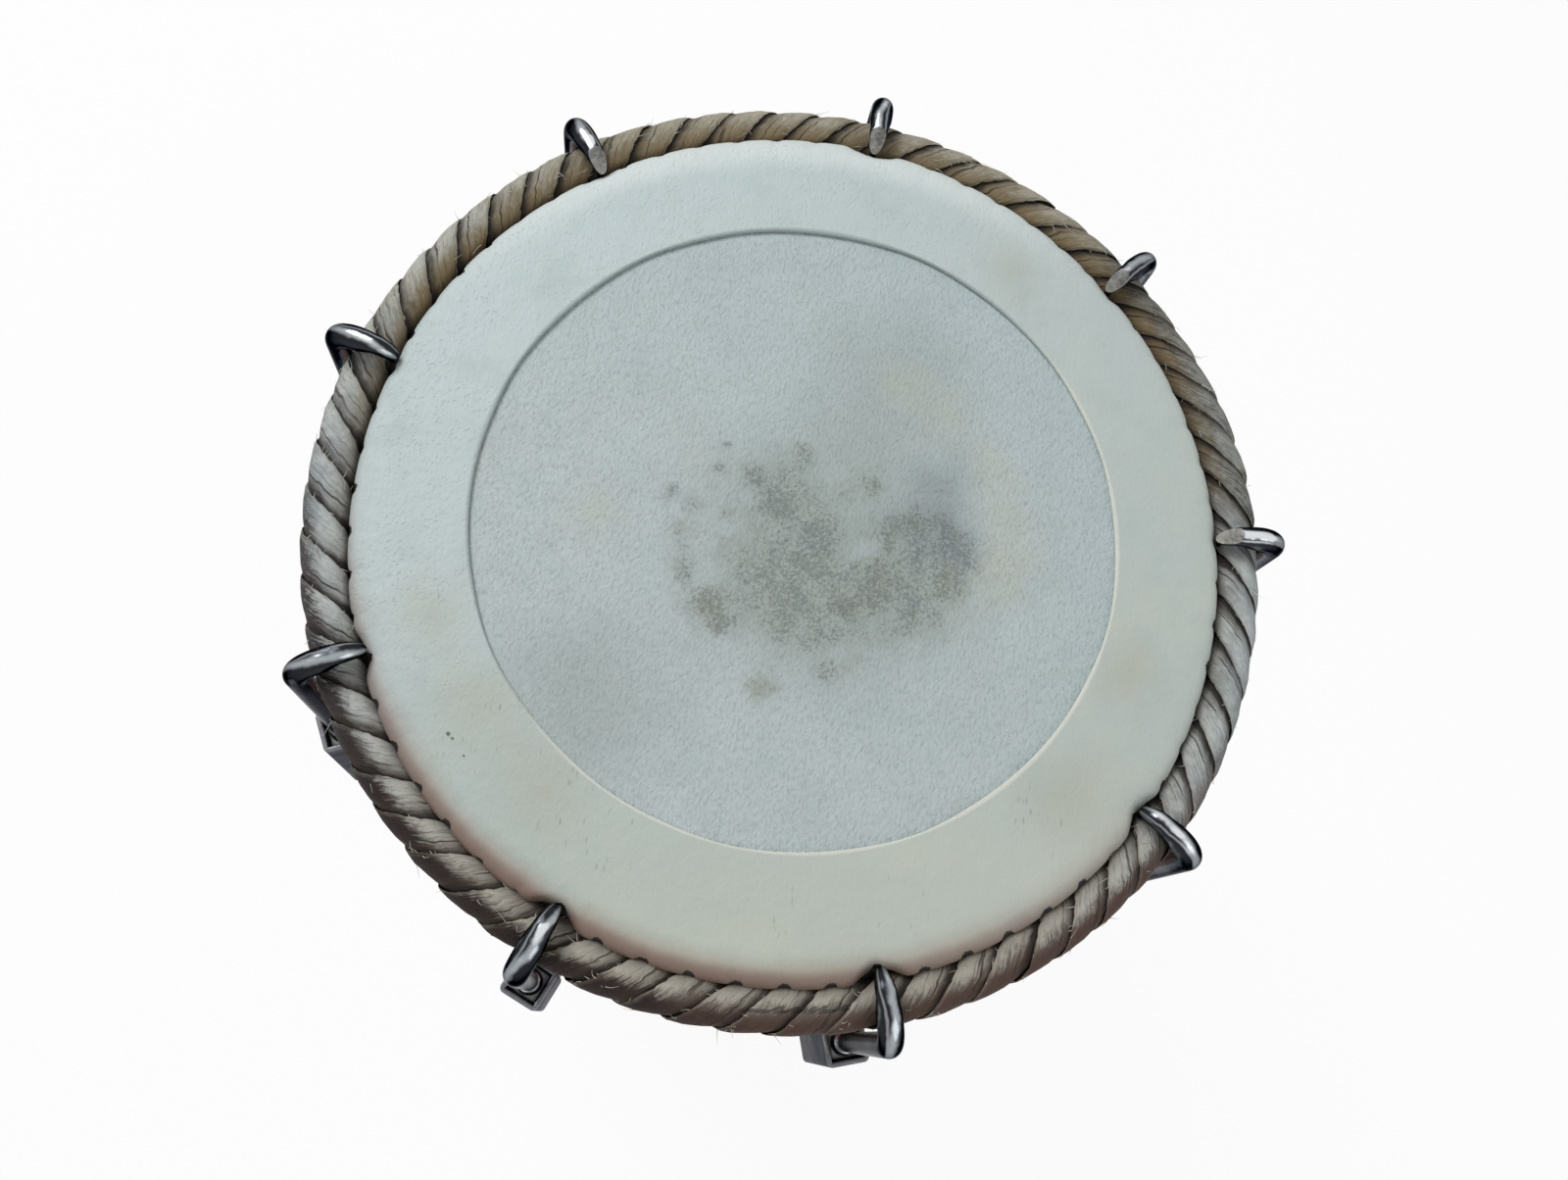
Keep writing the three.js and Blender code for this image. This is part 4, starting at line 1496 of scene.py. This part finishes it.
# %% Dress the rawhide
def dress_rawhide(head):
    flank_shade_share = 1 if head.end == "bass" else 0.45

    def dress(place):
        x, y, z = place.parts()
        across = kept(place, "across")
        sunk = kept(place, "sunk")
        around = kept(place, "wound") * head.rim
        strap = place.node("ShaderNodeCombineXYZ", {}, {0: across * 13 * MM, 1: around})
        fibre = strap.stretch(1, 0.09, 0).waver(0.26 * MM, 3, 0.65)
        broad = strap.stretch(1, 0.22, 0).waver(1.1 * MM, 3, 0.6)
        blotch = place.waver(5.5 * MM, 4, 0.6)
        slow = place.waver(14 * MM, 3, 0.55)
        mottle = place.waver(0.9 * MM, 4, 0.7)
        # Where round the rim, and on which side of the strap
        out = (place.flat().far() - head.ring) / head.rim
        up = (z - head.level) * (-head.inward / head.rim)
        east = x / head.ring
        north = y / head.ring
        wander = 0.45 * blotch + 0.6 * slow
        back = (north - 0.15 * east + wander).step(0, 0.6)
        front = (wander - north).step(0.2, 0.75)
        left_front = (0.5 * wander - 0.7 * east - 0.71 * north).step(0.66, 0.92)
        right_back = (0.883 * east + 0.469 * north + 0.3 * wander).step(0.87, 0.97)
        sides = abs(east).step(0.5, 0.95)
        # Dirt, dust and painted shade: on the flank, by the groove, under and between the turns
        inner = 0.3 * blotch - out
        inside = (inner + 0.55 * broad).step(-0.15, 0.6) * (0.12 + 0.5 * back + 0.22 * sides)
        # Painted shade on the inner side of the strap by the groove, and more of it at the front.
        ends = (0.3 * broad - out).step(0.55, 1)
        front_groove_shade = (inner + 0.4 * broad).step(0.2, 0.85) * front
        # The outer flank gets painted shade, darkest at the front and the front left.
        flank = (out - 0.25 * up + 0.75 * broad + 0.5 * blotch).step(-0.5, 0.3)
        flank = flank * (1 - 0.45 * (0.8 * blotch - up).step(0, 0.6)) * flank_shade_share
        # Chalk: pale dust and fibres, with painted light: paler on the top of the strap and on its
        # outer side at the back, darker on its outer side at the front.
        dust_and_light = 0.7 * up + (0.55 * back - 1.1 * front) * out + 0.25 * slow
        chalk = (dust_and_light + 1.9 * fibre + 1.2 * blotch + 0.9 * mottle).step(0.3, 1)
        chalk = chalk * (0.8 - 0.25 * back - 0.25 * right_back)
        # Painted shade where each turn goes under the next.
        tucked_shade = (across + 0.22 * broad).step(0.38, 0.92)
        torn = (1 - across.step(0, 0.13)) * (fibre + 0.4 * blotch).step(-0.14, 0.1)
        # Two wrinkles along the strap, painted dark as shade
        bent = 0.3 * strap.stretch(1, 0.12, 0).waver(1.6 * MM)
        present = place.noise(7 * MM).step(0.42, 0.56)
        second = (across - 1.4 * bent - 0.4).line(0.005, 0.022) * (1 - 0.7 * present)
        wrinkle = (across + bent - 0.58).line(0.006, 0.03) + 0.7 * second
        wrinkle = wrinkle * (0.25 + 0.75 * present)
        tone = blotch.step(-0.2, 0.2)
        grain = broad.step(-0.2, 0.2)
        colour = layered(
            tone.mix((152, 159, 162), (190, 197, 198)),
            (sides * 0.6, tone.mix((166, 176, 180), (206, 216, 219))),
            (back * 0.9, grain.mix((130, 119, 92), (166, 160, 140))),
            (right_back * 0.92, broad.step(-0.15, 0.15).mix((50, 46, 36), (104, 101, 88))),
            (front * 0.8, grain.mix((90, 74, 66), (132, 120, 109))),
            (inside, (126, 106, 70)),
            # Painted shade on the outer flank.
            (flank * front * 0.9, (84, 60, 52)),
            (1.3 * flank * left_front * 0.95, (38, 25, 25)),
            (flank * (1 - front) * (1 - back) * 0.15, (124, 128, 130)),
            (chalk, sides.mix((205, 203, 196), (214, 220, 217))),
            (tucked_shade * 0.56, (80, 66, 52)),
            (ends * 0.6, (70, 56, 42)),
            (front_groove_shade * 0.6, (66, 54, 46)),
            (torn * (0.6 - 0.35 * flank), (196, 191, 178)),
            (wrinkle * 0.75, (52, 42, 36)),
            (fibre.step(0.03, 0.2) * slow.step(-0.15, 0.1) * 0.55, (78, 64, 50)),
            # Painted shade in the crevice where each turn meets the next, and where the strap lies
            # sunk and creased.
            ((across + 0.34 * broad).step(0.62, 0.86) * 0.92, (30, 24, 20)),
            (sunk.step(0.25, 0.9) * 0.55, (50, 41, 34)),
        )
        colour = (1 - sides).mix(colour, colour.stretch(0.93, 0.9, 0.84))
        relief = fibre * 0.7 + broad + mottle * 0.5 - wrinkle * 0.8
        return coat(colour, 0.72 + 0.2 * blotch, relief, 0.55 * MM, {"Specular IOR Level": 0.3})
    return dress


bass_rawhide = finish("rawhide of the bass rim", dress_rawhide(bass))
treble_rawhide = finish("rawhide of the treble rim", dress_rawhide(treble))

# %% [markdown]
# ## Chrome
# The rods are chromed, with fine scratches and pits. Their light and dark are painted reflections:
# bands across each rod set by which way it faces, a painted glint along the top, darker over the
# rim and lighter down the shanks. Where the bend of a bass hook is ground off, the bare steel shows,
# rubbed and yellowed.

# %% Dress the rods
def dress_chrome(head):
    def dress(place):
        up = kept(place, "faces_up")
        out = kept(place, "faces_out")
        side = kept(place, "faces_side")
        x, y, z = place.parts()
        haze = place.waver(2.2 * MM, 4, 0.6)
        sway = place.stretch(1, 1, 0.25).waver(4.5 * MM, 3, 0.6)
        scratch = place.stretch(0.15, 0.15, 1).noise(0.12 * MM, 2, 0.6)
        height = (z - head.plane) * (-head.inward / MM)
        # Painted reflections: bands of light and dark across each rod, set by which way it faces,
        # and a painted glint along its top.
        wave = (4.4 * side + 2.4 * out + 5.5 * sway + 1).maths("SINE")
        pale = (wave + 0.6 * haze).step(-0.5, 1.1)
        painted_glint = (wave * 0.16 + up.maths("MAXIMUM", 0.94 * out) + 1.3 * sway).step(0.98, 1.2)
        # The ground flats, by their place on the bend
        reach = place.flat().far() / MM
        lean = height * math.cos(FLAT_LEAN) - reach * math.sin(FLAT_LEAN)
        above = -head.inward * (head.flat.z - head.plane) / MM
        level = above * math.cos(FLAT_LEAN) - head.flat.x / MM * math.sin(FLAT_LEAN)
        back = (y / head.ring + 0.3 * x / head.ring).step(0.05, 0.2)
        ground = (lean - level).step(-0.14, -0.05) * back * (1 if head.end == "bass" else 0)
        rubbed = place.stretch(1, 1, 2).noise(0.7 * MM, 4, 0.7).step(0.35, 0.7)
        rubbed = rubbed * 0.6 + 0.4 * (-height).step(-3.5, 0.5)
        pits = (1 - place.cells(1.3 * MM).step(0.05, 0.16)) * haze.step(0, 0.12)
        # Darker painted reflections over the rim and lighter ones down the shank, a painted dark
        # along the rod's sides and a painted highlight line.
        dull = pale.mix((40, 42, 46), (158, 163, 167))
        colour = layered(
            (-height).step(8, 16).mix(dull, pale.mix((96, 98, 102), (196, 199, 203))),
            (abs(side).step(0.66, 0.96) * 0.6, (58, 60, 64)),
            ((side + 0.5 + 0.7 * sway).line(0.03, 0.14) * 0.5, (170, 174, 178)),
            (painted_glint * 0.8, (230, 233, 235)),
            (ground * 0.85, rubbed.mix((92, 93, 94), (166, 162, 150))),
            (pits * 0.7, (74, 66, 60)),
        )
        rough = 0.2 + 0.14 * haze + 0.25 * pits + 0.3 * ground
        others = {"Metallic": 1 - 0.5 * pits - 0.4 * ground, "Specular Tint": (0.3, 0.3, 0.31, 1)}
        return coat(colour, rough, scratch * 0.4 + haze, 0.03 * MM, others)
    return dress


bass_chrome = finish("chrome of the bass hooks", dress_chrome(bass))
treble_chrome = finish("chrome of the treble hooks", dress_chrome(treble))

# %% [markdown]
# ## Plated steel and iron
# The sleeves and the nuts are plated steel, and the hoops are bare iron. All three are one finish,
# with other colours and with more or less rust.

# %% Dress the sleeves, the nuts and the hoops
RUST = (110, 66, 42)


def plated(bright, dull, amount, rough):
    """A plated or bare metal with its dull and rusty places."""
    def dress(place):
        haze = place.noise(3 * MM, 4, 0.6)
        fine = place.waver(0.4 * MM, 3, 0.6)
        rusty = (place.noise(5 * MM, 5, 0.7) + 0.3 * fine).step(0.74 - amount, 0.84 - amount)
        colour = layered(haze.step(0.3, 0.7).mix(bright, dull), (rusty, RUST))
        others = {"Metallic": 1 - 0.85 * rusty, "Specular Tint": (0.3, 0.3, 0.32, 1)}
        return coat(colour, rough + 0.2 * haze + 0.3 * rusty, fine + rusty * 0.6, 0.05 * MM, others)
    return dress


steel = finish("dark plated steel", plated((116, 117, 121), (94, 95, 99), 0.04, 0.28))
zinc = finish("zinc plated nut", plated((150, 152, 152), (118, 120, 118), 0.1, 0.4))
iron = finish("bare iron", plated((92, 88, 86), (64, 60, 58), 0.3, 0.5))

# %% [markdown]
# ## Wood
# The barrel is reddish hardwood under a clear lacquer. The grain runs up the barrel, so the noise
# is drawn out along Z, and the turned lines hold the dark of old lacquer.

# %% Dress the barrel
def dress_wood(place):
    height = place.parts()[2]
    bent = drift(place.stretch(1, 1, 0.12), 14 * MM, 5 * MM, 2)
    year = bent.stretch(1, 0.35, 1).noise(3.2 * MM, 4, 0.55)
    vessel = place.stretch(1, 1, 0.035).waver(0.33 * MM, 2, 0.6)
    figure = place.stretch(1, 1, 0.25).noise(22 * MM, 3)
    lines = sum((height - cut).line(0.25 * LINE_WIDTH, 0.62 * LINE_WIDTH) for cut in line_levels)
    worn = place.noise(30 * MM, 4, 0.6)
    colour = layered(
        year.step(0.32, 0.68).mix((100, 46, 24), (148, 78, 42)),
        (figure.step(0.4, 0.7) * 0.45, (120, 52, 28)),
        (vessel.step(0.06, 0.2) * 0.55, (58, 26, 16)),
        (lines * 0.8, (34, 16, 12)),
    )
    others = {"Coat Weight": 0.55 + 0.3 * worn, "Coat Roughness": 0.18}
    return coat(colour, 0.34 + 0.2 * worn, vessel * 0.5 + year * 0.4, 0.05 * MM, others)


wood = finish("lacquered hardwood", dress_wood)

# %% [markdown]
# ## The treble skin, the paste and the fibres
# The treble skin is bare goat skin, worn in the middle by the fingers, and darker with dirt and
# painted shade where it goes down into the braid. The paste is dull and dark, and the fibres are as
# pale as fresh hide.

# %% Dress the last three
def dress_treble_skin(place):
    flat = place.flat()
    tone = flat.noise(14 * MM, 4, 0.55)
    grain = flat.stretch(1.4, 0.6, 0).noise(0.45 * MM, 3, 0.6)
    worn = 1 - flat.far().step(0.25 * treble.radius, 0.75 * treble.radius)
    depth = (place.parts()[2] - treble.plane) / MM
    colour = layered(
        tone.step(0.35, 0.7).mix((196, 200, 186), (176, 184, 174)),
        (flat.noise(6 * MM, 5, 0.6).step(0.58, 0.75) * 0.35, (158, 152, 132)),
        (worn * 0.3, (164, 166, 152)),
        # Dirt where the skin goes down to the braid, and painted shade deep in the groove under it.
        (depth.step(1, 5) * 0.6, (140, 126, 106)),
        (depth.step(4, 7) * 0.8, (60, 50, 42)),
    )
    relief = grain + tone * 0.5
    return coat(colour, 0.55 + 0.15 * tone, relief, 0.15 * MM, {"Specular IOR Level": 0.35})


def dress_paste(place):
    lumps = place.noise(1.6 * MM, 4, 0.65)
    colour = lumps.step(0.35, 0.7).mix((44, 40, 36), (74, 66, 58))
    return coat(colour, 0.75 + 0.2 * lumps, lumps, 0.3 * MM)


def dress_fibres(place):
    tone = place.noise(4 * MM).step(0.35, 0.65)
    return {"Base Color": tone.mix((176, 168, 148), (214, 210, 198)), "Roughness": 0.7}


treble_finish = finish("treble skin", dress_treble_skin)
paste_finish = finish("tuning paste", dress_paste)
fibre_finish = finish("frayed rawhide", dress_fibres)

# %% [markdown]
# ## Which finish goes where
# Each piece gets the finish that belongs to a part of its name, in place of the plain material
# that every new piece starts with.

# %% Give every piece its finish
FINISHES = {
    "turned_barrel": wood, "collar_skin": collar_finish, "bass_playing_skin": playing_finish,
    "treble_playing_skin": treble_finish, "tuning_paste": paste_finish, "iron_hoop": iron,
    "bass_rawhide": bass_rawhide, "treble_rawhide": treble_rawhide, "bass_tension": bass_chrome,
    "treble_tension": treble_chrome, "sleeve": steel, "square_nut": zinc, "fibres": fibre_finish,
}
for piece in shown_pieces():
    for word, material in FINISHES.items():
        if word in piece.name:
            piece.data.materials.clear()
            piece.data.materials.append(material)

# %% [markdown]
# ## The floor and the world
# The drum stands upright on the bends of its treble hooks. The floor and the world are white to
# the camera and to reflections, and plain to everything else, so that they light the drum softly.

# %% Lay the floor and light the world
FLOOR_SIZE = 12
FLOOR_DROP = 0.05 * MM
FLOOR_GREY = 0.9
WORLD_LIGHT = 0.31
WHITE = (1, 1, 1, 1)


def seen_plain(tree):
    """1 for the camera, in reflections and through glass, and 0 for the light on the drum."""
    path = tree.nodes.new("ShaderNodeLightPath").outputs
    camera_ray, gloss, glass = (Wire(tree, path[f"Is {kind} Ray"])
                                for kind in ("Camera", "Glossy", "Transmission"))
    return camera_ray.maths("MAXIMUM", gloss).maths("MAXIMUM", glass)


bpy.ops.object.select_all(action="DESELECT")
bpy.ops.mesh.primitive_plane_add(size=FLOOR_SIZE, location=(0, 0, -FLOOR_DROP))
floor = place_at(named("floor"))
material = bpy.data.materials.new("pale floor")
material.use_nodes = True
tree = material.node_tree
diffuse = tree.nodes["Principled BSDF"]
fill(tree, diffuse.inputs["Base Color"], (FLOOR_GREY, FLOOR_GREY, FLOOR_GREY, 1))
fill(tree, diffuse.inputs["Roughness"], 0.9)
seen = seen_plain(tree)
glow = seen.node("ShaderNodeEmission", {}, {"Color": WHITE, "Strength": 1.02})
lit = Wire(tree, diffuse.outputs[0])
mixed = seen.node("ShaderNodeMixShader", {}, {0: seen * 0.9, 1: lit, 2: glow})
fill(tree, tree.nodes["Material Output"].inputs["Surface"], mixed)
floor.data.materials.append(material)
floor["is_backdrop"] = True

world = bpy.data.worlds.new("studio")
bpy.context.scene.world = world
world.use_nodes = True
background = world.node_tree.nodes["Background"]
fill(world.node_tree, background.inputs["Color"], WHITE)
strength = WORLD_LIGHT + seen_plain(world.node_tree) * (1 - WORLD_LIGHT)
fill(world.node_tree, background.inputs["Strength"], strength)
bpy.context.scene.view_settings.view_transform = "Standard"
print("the world lights the drum at", WORLD_LIGHT)

# %% [markdown]
# ## The lamps
# Two large soft boxes light the drum, as in a studio: a strong one from the back left, and a
# weaker one from the front right that fills its shadows.

# %% Hang the lamps
def lamp(name, place, target, size, power):
    """A square soft box that shines from a place towards another."""
    bpy.ops.object.select_all(action="DESELECT")
    bpy.ops.object.light_add(type="AREA", location=place)
    light = named(name)
    light.data.shape = "SQUARE"
    light.data.size = size
    light.data.energy = power
    light.rotation_euler = (Vector(target) - Vector(place)).to_track_quat("-Z", "Y").to_euler()
    print(f"{name}: {power} W from {place}")


lamp("key", (-0.75, 0.75, 1.55), (0, 0, 0.4), 0.7, 13.4)
lamp("fill", (0.9, -0.9, 1.2), (0, 0, 0.35), 1.1, 4.6)

# %% [markdown]
# ## The size of the drum
# The box of the finished drum is printed beside the box of the frame, to compare the two.

# %% Print the sizes
low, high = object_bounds()
sizes = {"cad": [list(cad_box[0]), list(cad_box[1])], "visual": [list(low), list(high)]}
for name, corners in sizes.items():
    print(name, [[round(value / MM, 2) for value in corner] for corner in corners])
